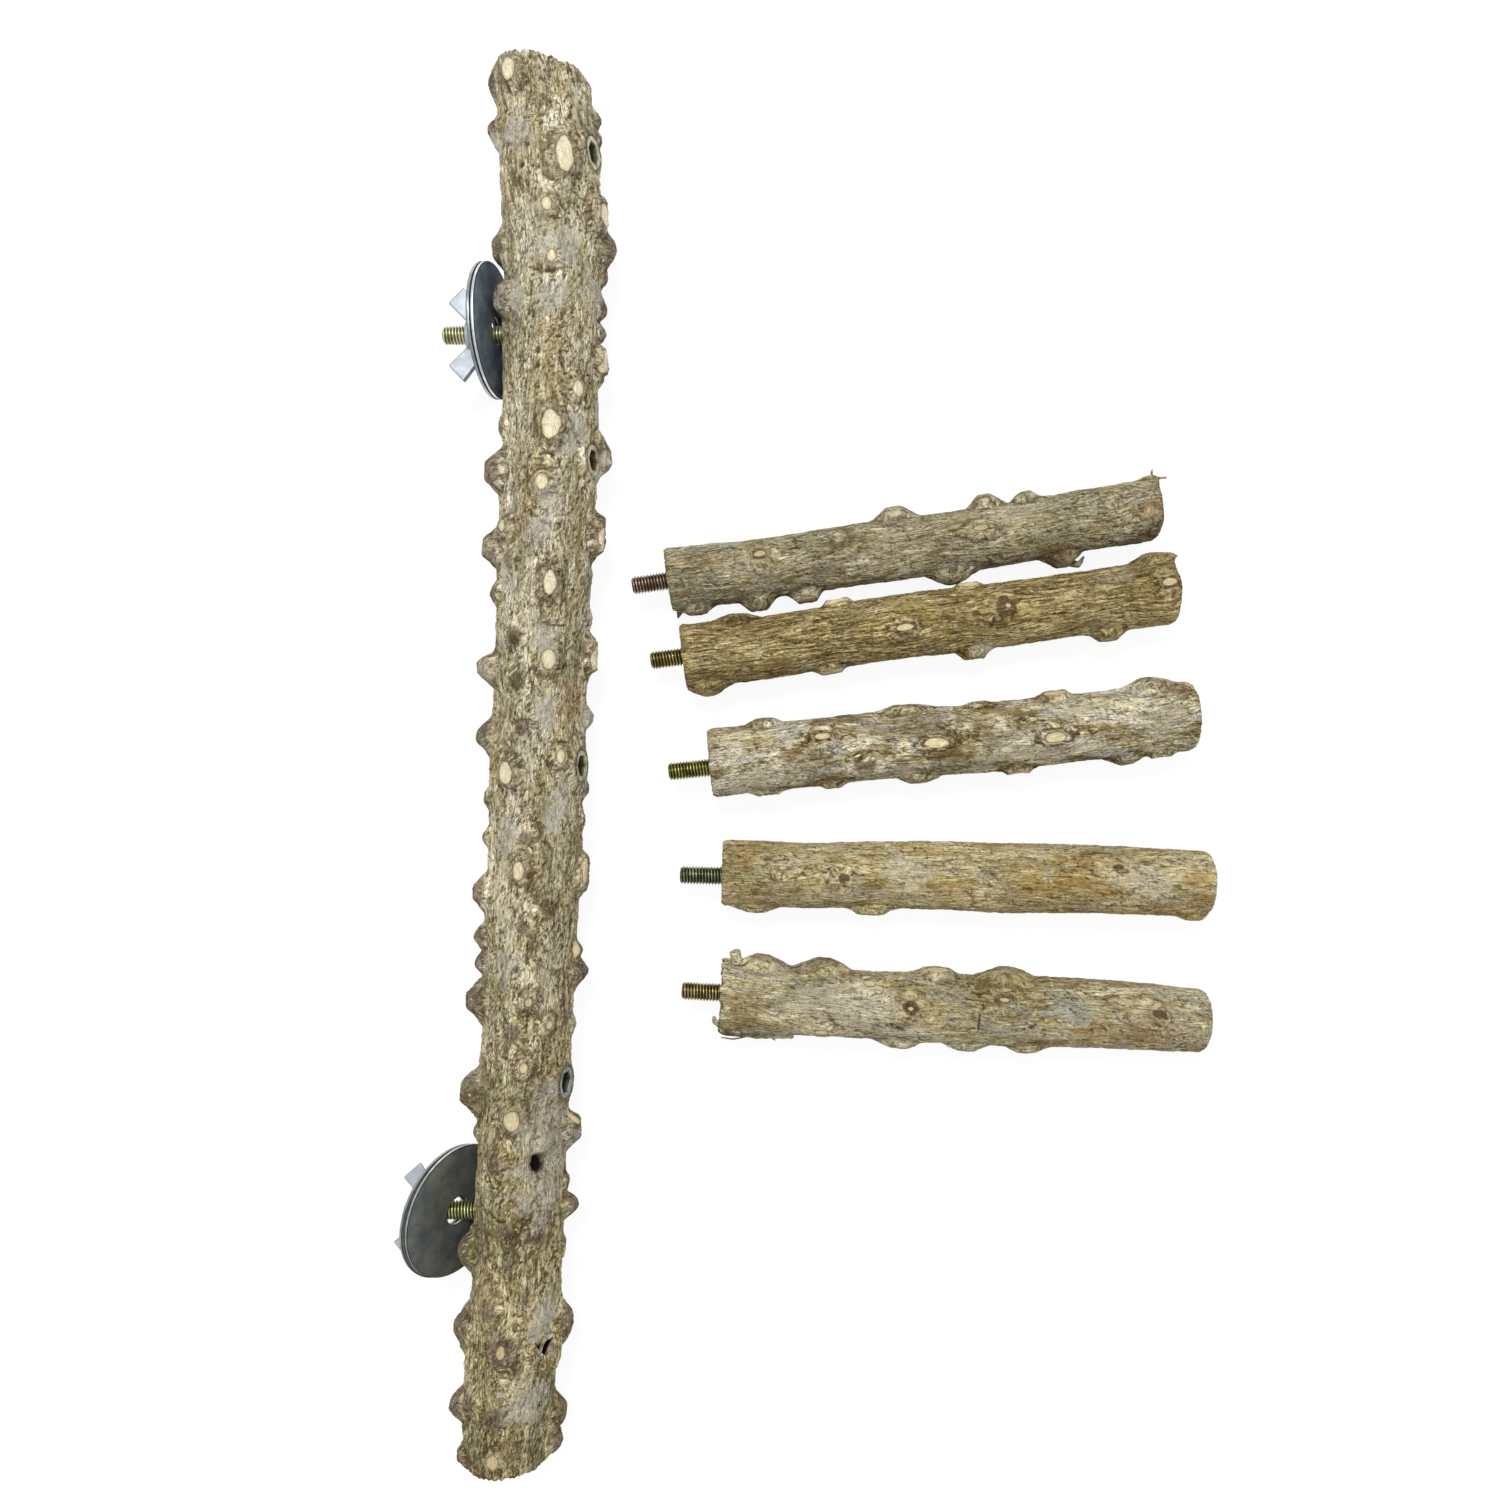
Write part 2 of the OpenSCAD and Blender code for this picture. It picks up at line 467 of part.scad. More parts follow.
module wing_nut(i) {
    foot = hub_foot_share * hub_h;
    color(bright_zinc) at_clamp(i)
        translate([0, 0, nut_stand[i]]) rotate(90 + nut_turns[i]) difference() {
            union() {
                rotate_extrude($fn = 48) polygon([
                    [0, 0], [hub_d / 2 - foot / 2, 0], [hub_d / 2, foot / 2], [hub_d / 2, foot],
                    [hub_top_share * hub_d / 2, hub_h - foot / 2],
                    [hub_top_share * hub_d / 2 - foot / 2, hub_h], [0, hub_h]]);
                for (side = [0, 180]) rotate(side) rotate([90, 0, 0])
                    linear_extrude(wing_t, center = true) wing_outline($fn = 24);
            }
            translate([0, 0, -overrun]) cylinder(d = bore_d, h = wing_h + 2 * overrun, $fn = 48);
        }
}

module branch(i) {
    color(i == 0 || i == 2 ? bark_grey : bark) difference() {
        at_branch(i)
            log_solid(branch_ls[i], branch_ds[i], branch_rings, branch_sides, branch_girth_shares[i],
                      branch_bow_shares[i], [0, 0], branch_knobs[i]);
        at_stud(i) stud_hole(stud_bite + run_gap);
    }
}

module branch_stud(i) {
    color(yellow_zinc) at_stud(i) double_stud(stud_outs[i], 0, stud_bite);
}

trunk();
threaded_insert(0);  // threaded_insert_1
threaded_insert(1);  // threaded_insert_2
threaded_insert(2);  // threaded_insert_3
threaded_insert(3);  // threaded_insert_4
threaded_insert(4);  // threaded_insert_5
hanger_bolt(0);  // upper_hanger_bolt
hanger_bolt(1);  // lower_hanger_bolt
clamp_washer(0, 0);  // upper_inner_washer
clamp_washer(0, 1);  // upper_outer_washer
wing_nut(0);  // upper_wing_nut
clamp_washer(1, 0);  // lower_inner_washer
clamp_washer(1, 1);  // lower_outer_washer
wing_nut(1);  // lower_wing_nut
branch(0);  // branch_1
branch(1);  // branch_2
branch(2);  // branch_3
branch(3);  // branch_4
branch(4);  // branch_5
branch_stud(0);  // branch_stud_1
branch_stud(1);  // branch_stud_2
branch_stud(2);  // branch_stud_3
branch_stud(3);  // branch_stud_4
branch_stud(4);  // branch_stud_5
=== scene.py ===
import functools
import itertools
import math

import bmesh
import bpy
import numpy as np
from mathutils import Matrix, Vector


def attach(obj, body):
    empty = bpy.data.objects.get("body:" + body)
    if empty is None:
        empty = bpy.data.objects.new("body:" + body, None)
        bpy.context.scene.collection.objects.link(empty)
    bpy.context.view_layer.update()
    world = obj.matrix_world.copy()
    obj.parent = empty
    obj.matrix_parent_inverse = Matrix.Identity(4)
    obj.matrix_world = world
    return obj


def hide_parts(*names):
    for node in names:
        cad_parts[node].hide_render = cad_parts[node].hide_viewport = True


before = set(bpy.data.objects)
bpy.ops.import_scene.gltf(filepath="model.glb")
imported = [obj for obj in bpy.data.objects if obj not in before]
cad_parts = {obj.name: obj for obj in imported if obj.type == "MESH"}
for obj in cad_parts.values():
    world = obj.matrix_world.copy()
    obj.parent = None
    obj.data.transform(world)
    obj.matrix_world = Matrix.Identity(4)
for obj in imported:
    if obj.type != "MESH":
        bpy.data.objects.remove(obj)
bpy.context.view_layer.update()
mm = 0.001
scene = bpy.context.scene

# How large the logs are and where each thing lies: lengths, widths and gaps in mm, turns in degrees, and all
# else in shares of the trunk's length or of a log's own size. A bore has its radius, its depth and how far
# inside it the skin is cut
kit = {
    "trunkLength": 445, "trunkWidth": 31, "trunkHeight": 20, "trunkShift": -0.1947,
    "clampShare": 0.809, "clampGap": 279.5, "clampMouth": 15, "clampBore": [3.05, 20, 8],
    "branchLength": 160, "branchStart": 0.1355,
    "branchWidths": [20.2, 21.2, 22.6, 22.2, 22.4],
    "branchCuts": [1, 1, 0.98, 0.985, 0.98],
    "branchPlaces": [-0.1019, -0.0909, -0.0711, -0.0624, -0.0639],
    "branchSteps": [0, 1.197, 1.603, 1.585, 1.758],
    "branchTurns": [8.4, 7.5, 5.6, -1.2, -3.1],
    "branchStands": [0.565, 0.578, 0.575, 0.550, 0.590],
    "studOffsets": [0, 0.02, -0.05, -0.04, 0.02],
    "studLengths": [11.8, 10.6, 13.6, 13.6, 12.4], "studBore": [3.05, 16, 8],
}


def linear(hexColour):
    channels = [int(hexColour[i : i + 2], 16) / 255 for i in (1, 3, 5)]
    return [c / 12.92 if c <= 0.04045 else ((c + 0.055) / 1.055) ** 2.4 for c in channels] + [1]


# An input is a number, a hex colour, or a node or socket to link
def addNode(tree, kind, inputs, **settings):
    node = tree.nodes.new("ShaderNode" + kind)
    for name, value in settings.items():
        setattr(node, name, value)
    for key, value in inputs.items():
        if isinstance(value, bpy.types.Node):
            value = next(s for s in value.outputs if s.enabled)
        if isinstance(value, bpy.types.NodeSocket):
            tree.links.new(value, node.inputs[key])
        else:
            node.inputs[key].default_value = linear(value) if isinstance(value, str) else value
    return node


def setStops(ramp, places, colours):
    elements = ramp.color_ramp.elements
    for _ in colours[2:]:
        elements.new(1)
    for element, place, colour in zip(elements, places, colours):
        element.position, element.color = place, linear(colour)
    return ramp


def newMaterial(name):
    material = bpy.data.materials.new(name)
    material.use_nodes = True
    material.node_tree.nodes.clear()
    return material, functools.partial(addNode, material.node_tree)


# Lays one colour over another; each span is a value and where on it the cover starts and is full
def layOver(add, under, over, amount, *spans, ease="LINEAR"):
    for value, low, high in zip(spans[::3], spans[1::3], spans[2::3]):
        reach = {"Value": value, "From Min": low, "From Max": high, "To Max": amount}
        amount = add("MapRange", reach, interpolation_type=ease)
    return add("Mix", {0: amount, 6: under, 7: over}, data_type="RGBA")


# Colour, relief and gloss meet in one shader; the relief's depth is in mm
def closeMaterial(add, colour, relief, depth, strength, gloss):
    bump = add("Bump", {"Height": relief, "Distance": depth * mm, "Strength": strength})
    add("OutputMaterial", {"Surface": add("BsdfPrincipled", {"Base Color": colour, "Normal": bump, **gloss})})


def wrapped(angle):
    return angle - 360 * np.round(angle / 360)


def smooth(low, high, x):
    s = np.clip((x - low) / (high - low), 0, 1)
    return s * s * (3 - 2 * s)


def along(table, t):
    return np.interp(t, np.linspace(0, 1, len(table)), np.array(table) / 1000)


def unit(vectors):
    return vectors / np.linalg.norm(vectors, axis=-1, keepdims=True)


directions = unit(np.array([v for v in itertools.product((-1, 0, 1), repeat=3) if any(v)], float))


# Gradient noise from about -0.5 to 0.5 on points in cells, the same on every run
def latticeNoise(points, seed):
    cell = np.floor(points).astype(np.int64)
    inside = points - cell
    weight = inside**3 * (inside * (inside * 6 - 15) + 10)
    total = np.zeros(points.shape[:-1])
    for corner in itertools.product((0, 1), repeat=3):
        c = cell + corner  # large odd numbers scramble each corner into one of the 26 directions
        h = c[..., 0] * 374761393 + c[..., 1] * 668265263 + c[..., 2] * 1274126177 + seed * 69069
        h = ((h ^ (h >> 13)) * 1103515245) & 0x7FFFFFFF
        h = ((h ^ (h >> 16)) * 12345701) & 0x7FFFFFFF
        slope = directions[(h >> 5) % len(directions)]
        share = np.prod(np.where(corner, weight, 1 - weight), axis=-1)
        total += share * np.sum(slope * (inside - corner), axis=-1)
    return total


def noise(points, seed, layers=3, gain=0.5):
    return sum(gain**i * latticeNoise(points * 2**i, seed + i) for i in range(layers))


# A skin over rings of points in mm: closed at both ends, or joined from the last ring to the first
def skinRings(name, rings, materials, matrix=Matrix(), joined=False):
    count, sides = rings.shape[:2]
    i, j = np.meshgrid(np.arange(count - 1 + joined), np.arange(sides), indexing="ij")
    k, m = (i + 1) % count, (j + 1) % sides
    faces = np.stack([i * sides + j, i * sides + m, k * sides + m, k * sides + j], -1).reshape(-1, 4).tolist()
    if not joined:
        faces += [list(range(sides))[::-1], list(range((count - 1) * sides, count * sides))]
    mesh = bpy.data.meshes.new(name)
    mesh.from_pydata((rings.reshape(-1, 3) * mm).tolist(), [], faces)
    mesh.transform(matrix)
    mesh.shade_smooth()
    for material in materials:
        mesh.materials.append(material)
    piece = bpy.data.objects.new(name, mesh)
    scene.collection.objects.link(piece)
    return piece


# Rings round +Z: each row has one radius, or one for each side, and one height
def ringsOf(rows, sides):
    around = 2 * np.pi * np.arange(sides) / sides
    return np.array([np.stack([r * np.cos(around), r * np.sin(around), z + 0 * around], -1) for r, z in rows])


def giveAttribute(mesh, name, values):
    kind, channel = ("FLOAT_VECTOR", "vector") if values.ndim == 2 else ("FLOAT", "value")
    layer = mesh.attributes.new(name, kind, "POINT")
    layer.data.foreach_set(channel, values.astype(np.float32).ravel())


def fit(piece, node, body):
    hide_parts(node)
    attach(piece, body)
    print("%s: %d faces" % (piece.name, len(piece.data.polygons)))


def turned(degrees, axis):
    return Matrix.Rotation(math.radians(degrees), 4, axis)


def moved(x, y, z):
    return Matrix.Translation(Vector((x, y, z)) * mm)


# In every table a place along a log is in thousandths of its length, and an angle round it is in degrees from
# the top. A knob goes on with its height and half length in hundredths of the log's width, its half width in
# degrees and how much of it is sawn flat, in tenths
trunkKnobs = [
    [986, -82, 8, 20, 26, 0], [951, -78, 10, 18, 24, 0], [868, -84, 12, 24, 26, 2], [830, -62, 11, 22, 24, 3],
    [741, -78, 5, 16, 22, 0], [710, -80, 18, 26, 26, 2], [656, -80, 16, 24, 26, 2], [623, -76, 7, 16, 22, 0],
    [570, -80, 18, 22, 26, 1], [521, -80, 15, 24, 26, 0], [477, -78, 5, 14, 20, 0], [449, -82, 6, 14, 20, 0],
    [410, -80, 13, 22, 24, 2], [378, -82, 12, 16, 22, 0], [360, -80, 9, 14, 22, 0], [333, -82, 16, 24, 26, 2],
    [268, -80, 19, 28, 28, 2], [240, -80, 5, 12, 20, 0], [155, -80, 15, 24, 26, 1], [101, -80, 15, 26, 28, 0],
    [45, -80, 15, 20, 26, 0], [8, -80, 6, 14, 24, 3], [972, 100, 8, 14, 22, 0], [957, 102, 6, 14, 22, 0],
    [890, 68, 9, 30, 20, 5], [873, 98, 14, 28, 28, 0], [853, 100, 7, 16, 24, 0], [830, 100, 8, 16, 24, 0],
    [811, 98, 8, 14, 22, 0], [791, 92, 10, 20, 22, 5], [779, 100, 7, 12, 22, 0], [723, 102, 15, 26, 28, 1],
    [666, 94, 12, 28, 24, 5], [605, 98, 4, 14, 20, 0], [579, 94, 10, 26, 22, 5], [535, 98, 8, 16, 22, 0],
    [483, 102, 7, 14, 22, 0], [461, 98, 3, 12, 20, 0], [423, 90, 8, 28, 22, 5], [367, 98, 7, 12, 22, 0],
    [351, 99, 14, 20, 26, 0], [314, 98, 4, 12, 20, 0], [239, 96, 14, 22, 26, 3], [200, 98, 5, 12, 20, 0],
    [183, 98, 15, 16, 24, 0], [156, 98, 3, 12, 20, 0], [96, 102, 16, 34, 30, 1], [28, 98, 13, 26, 28, 2],
    [8, 96, 13, 20, 28, 0], [983, -28, 7, 22, 18, 5], [923, 22, 9, 34, 20, 5], [887, 2, 6, 14, 14, 5],
    [851, 6, 5, 14, 13, 5], [762, 38, 5, 16, 15, 5], [735, 9, 9, 26, 19, 5], [696, 2, 7, 18, 17, 5],
    [668, -46, 7, 16, 16, 5], [627, 16, 8, 22, 18, 5], [574, 18, 7, 20, 17, 5], [507, 35, 5, 15, 14, 5],
    [495, -27, 8, 22, 18, 5], [428, -8, 7, 20, 16, 5], [337, 10, 6, 14, 14, 5], [320, 35, 6, 14, 14, 5],
    [292, 8, 6, 14, 14, 5], [256, -2, 8, 20, 19, 5], [155, 74, 5, 12, 14, 4], [96, -2, 10, 26, 22, 4],
    [16, -8, 5, 14, 18, 5], [644, -38, 6, 16, 16, 0], [590, -25, 6, 16, 16, 0], [560, -19, 6, 14, 16, 0],
    [528, -10, 6, 16, 16, 0], [450, -3, 5, 14, 15, 0], [402, 26, 6, 14, 16, 0], [389, -2, 5, 13, 15, 0],
    [315, -8, 6, 15, 16, 0], [277, 31, 5, 13, 15, 0], [238, 40, 6, 14, 15, 0], [225, -22, 6, 16, 16, 2],
    [194, 14, 5, 12, 15, 0], [180, -8, 6, 13, 15, 0], [174, 33, 6, 14, 16, 0], [123, -24, 6, 16, 18, 0],
    [80, 14, 5, 14, 16, 0], [47, -8, 7, 18, 20, 2], [54, -48, 6, 16, 18, 0], [955, 176, 10, 24, 24, 3],
    [915, -142, 10, 22, 24, 2], [886, 142, 9, 20, 22, 3], [766, 184, 11, 26, 26, 4], [731, 140, 9, 22, 24, 2],
    [691, -146, 8, 22, 24, 2], [642, 172, 12, 24, 24, 4], [602, 136, 9, 20, 22, 2], [562, -140, 10, 22, 24, 3],
    [522, 180, 12, 26, 26, 4], [472, 142, 10, 22, 24, 2], [433, -144, 9, 22, 24, 2], [393, 176, 13, 26, 26, 4],
    [348, 138, 9, 20, 22, 2], [303, -142, 10, 22, 24, 2], [265, 182, 13, 26, 26, 4], [228, 142, 10, 22, 24, 2],
    [124, 174, 13, 26, 26, 4], [99, -140, 9, 20, 22, 2], [64, 142, 10, 22, 24, 2], [30, 184, 10, 20, 24, 3],
]
branchKnobs = [
    [
        [50, 92, 10, 26, 26, 3], [174, 92, 17, 28, 30, 2], [275, 92, 15, 26, 28, 4],
        [574, 90, 18.5, 40, 32, 0], [800, 92, 20, 32, 30, 1], [475, -88, 18, 36, 32, 2],
        [663, -88, 22, 30, 28, 1], [745, -88, 14, 26, 26, 1], [985, -80, 5, 12, 24, 0],
        [190, -16, 7, 30, 26, 3], [350, -34, 5, 18, 18, 5], [634, -10, 6, 30, 20, 5], [320, 176, 8, 26, 28, 3],
        [700, 184, 8, 26, 28, 3], [900, -30, 5, 22, 22, 2], [970, 30, 6, 20, 26, 1],
    ],
    [
        [119, -86, 8, 34, 28, 2], [325, -88, 8, 24, 26, 5], [593, -88, 6, 22, 24, 5],
        [964, -84, 11, 30, 30, 0], [445.6, 8, 7, 28, 22, 5], [639, -6, 7, 26, 26, 3], [975, -10, 7, 22, 26, 4],
        [296, 90, 7, 24, 26, 5], [589, 92, 13, 26, 28, 4], [863, 92, 14, 30, 30, 2], [45, 94, 15, 34, 36, 0],
        [250, 180, 8, 26, 28, 3], [740, 178, 8, 26, 28, 3],
    ],
    [
        [120, -86, 8, 26, 28, 2], [413, -86, 7, 40, 28, 2], [565, -86, 4, 22, 24, 2], [723, -84, 7, 24, 26, 5],
        [917, -84, 13, 40, 34, 0], [233, -22, 6, 26, 22, 5], [461.5, 2, 6, 28, 22, 5], [700, 10, 6, 28, 22, 5],
        [312, 34, 4, 20, 20, 2], [115, 92, 5, 24, 26, 4], [251, 92, 5, 20, 26, 4], [429, 92, 10, 28, 28, 2],
        [634, 92, 7, 26, 26, 4], [860, 92, 11, 30, 30, 1], [933, 94, 6, 22, 26, 4], [280, 178, 8, 26, 28, 3],
        [720, 182, 8, 26, 28, 3],
    ],
    [
        [123, -16, 4, 20, 20, 5], [240, 2, 3, 20, 22, 2], [778, -26, 3, 18, 20, 5], [70, 92, 10, 34, 30, 2],
        [310, 92, 10, 30, 28, 4], [974, 92, 6, 26, 28, 2], [350, 180, 5, 30, 30, 3], [750, 178, 5, 30, 30, 3],
    ],
    [
        [85, -86, 12, 30, 30, 1], [212, -86, 16, 34, 30, 1], [445, -84, 8, 26, 26, 5],
        [589, -84, 14, 36, 30, 1], [303, -44, 5, 20, 20, 5], [376, -12, 7, 26, 24, 4],
        [575, -26, 6, 26, 24, 4], [866, -14, 6, 24, 24, 3], [211, 44, 5, 22, 22, 5], [375, 92, 11, 30, 28, 2],
        [512, 92, 11, 28, 28, 1], [640, 92, 10, 28, 28, 2], [30, 96, 8, 36, 40, 0], [270, 180, 9, 26, 28, 3],
        [780, 178, 9, 26, 28, 3],
    ],
]


farAway = 9.0  # mm to the next cut or knob where there is none near


# The rings near each mark of a table, and how far their points lie from it, along and round, in mm
def marksNear(log, rows, t, a, reach):
    for share, angle, halfLength, *rest in rows:
        away = (t - share / 1000) * log["length"]
        near = np.abs(away[:, 0]) < reach * halfLength
        yield near, away[near], wrapped(a[near] - angle) * math.radians(log["width"] / 2), halfLength, *rest


# Coordinates that flow round the knobs, and what stands out at each point of a log
def fieldsOf(log, t, a, place):
    length, width, seed = log["length"], log["width"], log["seed"]
    arc = math.radians(width / 2)
    wobble, rough = noise(place / 5, seed + 40, 2), noise(place / 2.6, seed + 50, 2)
    rise, bud, halo, crack, turn = np.zeros((5, *t.shape))
    sawn, apart = np.full((2, *t.shape), farAway)
    for share, angle, height, reach, spread, flat in np.array(log["knobs"]) / [1000, 1, 100, 100, 1, 10]:
        halfLength = reach * width
        near = np.abs((t[:, 0] - share) * length) < 3.2 * halfLength
        u, v = (t[near] - share) * length / halfLength, wrapped(a[near] - angle) / spread
        core = np.hypot(u, v)
        e = core * (1 + log["ragged"] * wobble[near])  # 1 at the foot of the knob
        steep = np.hypot(u / halfLength, v / (spread * arc)) / np.maximum(core, 0.05)
        away = (e - math.sqrt(1 - math.sqrt(1 - flat))) / np.maximum(steep, 0.05)
        dome = (1 - np.minimum(e / log["skirt"], 1) ** 2) ** 2 / (1 - flat)
        rise[near] = np.maximum(rise[near], height * width * np.minimum(dome, 1))
        crown = smooth(1.05, 0.35, e) * min(1, height / 0.1) * (1 if flat < 0.4 else 0.6)
        bud[near] = np.maximum(bud[near], crown)
        apart[near] = np.minimum(apart[near], np.maximum(away, 0) + farAway * (e > 1.9))
        core = core**2  # the fibres part in front of a knob and close behind it
        turn[near] -= v * spread * 0.5 / np.maximum(core, 0.55) * smooth(9, 4, core) * smooth(0.2, 1.4, core)
    flow = np.radians(a + turn)
    out = width / 2 + 0.45 * rise
    barkPlace = np.stack([t * length, np.sin(flow) * out + 40 * seed, np.cos(flow) * out], -1)

    # sawn faces: pointed ovals with a ragged outline, some in the middle of a brown eye
    for near, u, v, halfLength, halfWidth, brown in marksNear(log, log["cuts"], t, a, 4):
        v = v * 1.08
        e = (np.abs(u / halfLength) ** 1.8 + np.abs(v / halfWidth) ** 1.8) ** (1 / 1.8)
        e = e * (1 + 0.22 * rough[near]) + 1e-3
        sawn[near] = np.minimum(sawn[near], (e - 1) * np.hypot(u, v) / e)
        eye = brown / 10 * smooth(2.9, 1.9, e) * (0.55 + 0.45 * np.sin(7.5 * e + 3 * rough[near]))
        halo[near] = np.maximum(halo[near], eye)

    # long cracks on the unrolled bark, with x along it and i round it
    for share, angle, endShare, endAngle, bend in log["cracks"]:
        run = complex((endShare - share) / 1000 * length, wrapped(endAngle - angle) * arc)
        point = (t - share / 1000) * length + 1j * wrapped(a - angle) * arc
        done = np.clip((point / run).real, 0, 1)
        side = (4 * bend * done * (1 - done) + 0.5 * rough) / abs(run)
        broken = smooth(-0.45, 0.05, rough + 0.25 * np.sin(3 * place[..., 0]))
        crack = np.maximum(crack, smooth(0.75, 0.15, np.abs(point - (done + 1j * side) * run)) * broken)
    return {
        "rise": rise, "bud": bud, "barkPlace": barkPlace, "apart": apart, "sawn": sawn, "halo": halo,
        "crack": crack, "ringed": log["eyes"] * np.exp(-(((apart - 1.3) / 1.2) ** 2)),
    }


# Bark relief in millimetres, and how deep in a crack each point lies, which the bark darkens as painted shade
def reliefOf(log, fields):
    bark, seed, place = log["bark"], log["seed"], fields["barkPlace"]
    swell = noise(place / [11, 6, 6], seed, 2)
    fibre = noise(place / bark["fibreSize"], seed + 7, 3, 0.55)
    crust = noise(place / bark["crustSize"], seed + 13, 3, 0.6)
    place = place + np.stack([noise(place / 6, seed + shift, 2) for shift in (31, 32, 33)], -1) * [4, 2.2, 2.2]
    plates = np.abs(noise(place / bark["plateSize"], seed + 19, 2))
    flakes = np.abs(noise(place / bark["flakeSize"], seed + 23, 2))
    # seams open between the plates and flakes, splits run along the fibres, wrinkles ring the knobs
    seams = smooth(0.085, 0, plates) + 0.6 * smooth(0.1, 0, flakes) * smooth(-0.1, 0.2, crust - 0.5 * swell)
    split = smooth(0.1, 0, np.abs(fibre)) * smooth(-0.2, 0.25, swell + 0.7 * crust)
    wrinkle = 0.5 + 0.5 * np.sin(2 * np.pi * fields.pop("apart") / bark["wrinkle"] + 6 * crust)
    calm = 1 - 0.4 * fields["bud"] - 0.6 * fields["grey"] * (fields["bud"] < 0.5)
    height = bark["crust"] * crust + bark["fibre"] * fibre - bark["splitDepth"] * split
    height = bark["swell"] * swell + calm * (height + bark["wrinkleDepth"] * fields["ringed"] * (wrinkle - 0.6))
    height -= bark["seamDepth"] * seams + 0.15 * fields["halo"] + 0.35 * fields["crack"]
    # how deep a point lies in a split, seam or wrinkle trough: coloured as painted shade
    hollow = np.clip(calm * (0.6 * split + 0.4 * fields["ringed"] * (1 - wrinkle)) + 0.7 * seams, 0, 1)
    # sawn wood lies smooth inside a lip of bark
    onWood = smooth(0.5, -0.1, fields["sawn"])
    lip = bark["lip"] * np.exp(-(((fields["sawn"] - 0.7) / 0.55) ** 2))
    return height * (1 - onWood) + lip - bark["sunk"] * onWood - bark["inset"], hollow * (1 - onWood)


# Ragged stains: a row goes on with a half length and half width in mm and a strength in tenths
def stainOf(log, rows, t, a, place, seed):
    ragged = 0.9 * noise(place / 5, seed, 3, 0.6)
    total = np.zeros(t.shape)
    for near, u, v, halfLength, halfWidth, strength in marksNear(log, rows, t, a, 2.5):
        e = np.hypot(u / halfLength, v / halfWidth) + ragged[near]
        total[near] = np.maximum(total[near], strength / 10 * smooth(1.3, 0.5, e))
    return total


# Sawn end: rings of points that run in to the pith
def sawnEnd(rim, seed):
    inward = np.array([0.985, 0.96, 0.92, 0.86, 0.78, 0.69, 0.6, 0.5, 0.4, 0.3, 0.2, 0.1, 0.02])[:, None]
    disc = rim.mean(0) + inward[..., None] * (rim - rim.mean(0))
    # the cut is a plane through its ragged rim
    plane = np.linalg.lstsq(np.c_[rim[:, 0], rim[:, 2], np.ones(len(rim))], rim[:, 1], rcond=None)[0]
    level = disc[..., 0] * plane[0] + disc[..., 2] * plane[1] + plane[2]
    disc[..., 1] = level + (disc[..., 1] - level) * smooth(0.88, 1, inward)
    disc[..., 1] += 0.1 * latticeNoise(disc * [0.9, 0.9, 0.35], seed)
    return disc, inward


# A round bore through the skin: the faces over it go, its rim becomes a true circle and runs down inside
def drill(work, matrix, radius, depth, reach):
    toBore = matrix.inverted()
    inside = [v for v in work.verts if (p := toBore @ v.co / mm).xy.length < radius and p.z > -reach]
    bmesh.ops.delete(work, geom=list({f for v in inside for f in v.link_faces}), context="FACES")
    rim = [e for e in work.edges if e.is_boundary]
    for vertex in {v for e in rim for v in e.verts}:
        p = toBore @ vertex.co
        p.xy = p.xy.normalized() * radius * mm
        vertex.co = matrix @ p
    wall = bmesh.ops.extrude_edge_only(work, edges=rim)["geom"]
    for vertex in (g for g in wall if isinstance(g, bmesh.types.BMVert)):
        p = toBore @ vertex.co
        p.z = -depth * mm
        vertex.co = matrix @ p
    bottom = [e for e in wall if isinstance(e, bmesh.types.BMEdge) and e.is_boundary]
    bmesh.ops.contextual_create(work, geom=bottom)


# How far each point lies under the mean of those round it: creases are positive, crests negative. The bark paints
# shade into the creases and highlight onto the crests from it
def cavityOf(height, steps):
    mean = height
    for axis, mode in enumerate(("edge", "wrap")):
        padded = np.pad(mean, [(steps, steps), (0, 0)][:: 1 - 2 * axis], mode)
        mean = np.lib.stride_tricks.sliding_window_view(padded, 2 * steps + 1, axis).mean(-1)
    return mean - height


# Torn bark, twigs and hairs: tapered rods through points (along, across, up) with a half width at each
def addSlivers(work, slivers, seed, sides=9):
    place, sawn = work.verts.layers.float_vector["barkPlace"], work.verts.layers.float["sawn"]
    turn = np.arange(sides)[:, None] * 2 * np.pi / sides
    for number, (flatness, *rows) in enumerate(slivers):
        share = np.linspace(0, len(rows) - 1, 4 * len(rows))
        y, x, z, radius = (np.interp(share, range(len(rows)), column) for column in zip(*rows))
        path, radius = np.stack([x, y, z], -1), radius[:, None, None]
        heading = unit(np.gradient(path, axis=0))
        across = unit(np.cross(heading, [0, 0, 1]))[:, None]
        up = np.cross(across, heading[:, None])
        points = path[:, None] + radius * (np.cos(turn) * across + flatness * np.sin(turn) * up)
        points += 0.3 * radius * latticeNoise(points / 1.1, seed + number)[..., None]
        rings = [[work.verts.new(Vector(p) * mm) for p in ring] for ring in points]
        for vertex, p in zip(sum(rings, []), points.reshape(-1, 3)):
            vertex[place], vertex[sawn] = p[[1, 0, 2]], farAway
        for low, high in zip(rings, rings[1:]):
            for j in range(sides):
                work.faces.new([low[j], low[(j + 1) % sides], high[(j + 1) % sides], high[j]])
        work.faces.new(rings[0][::-1])
        work.faces.new(rings[-1])


# How every log is shaped: its lobes in shares of its radius, all else in mm
logForm = {
    "twoLobes": 0.022, "threeLobes": 0.016, "edgeDrop": 0.6, "edgeReach": 1.1, "chipReach": 5, "overhangReach": 7,
    "seatLevel": 0.1, "seatFlat": 0.4, "seatReach": 3.4, "seatDepth": 6, "seatShade": 0.6,
}


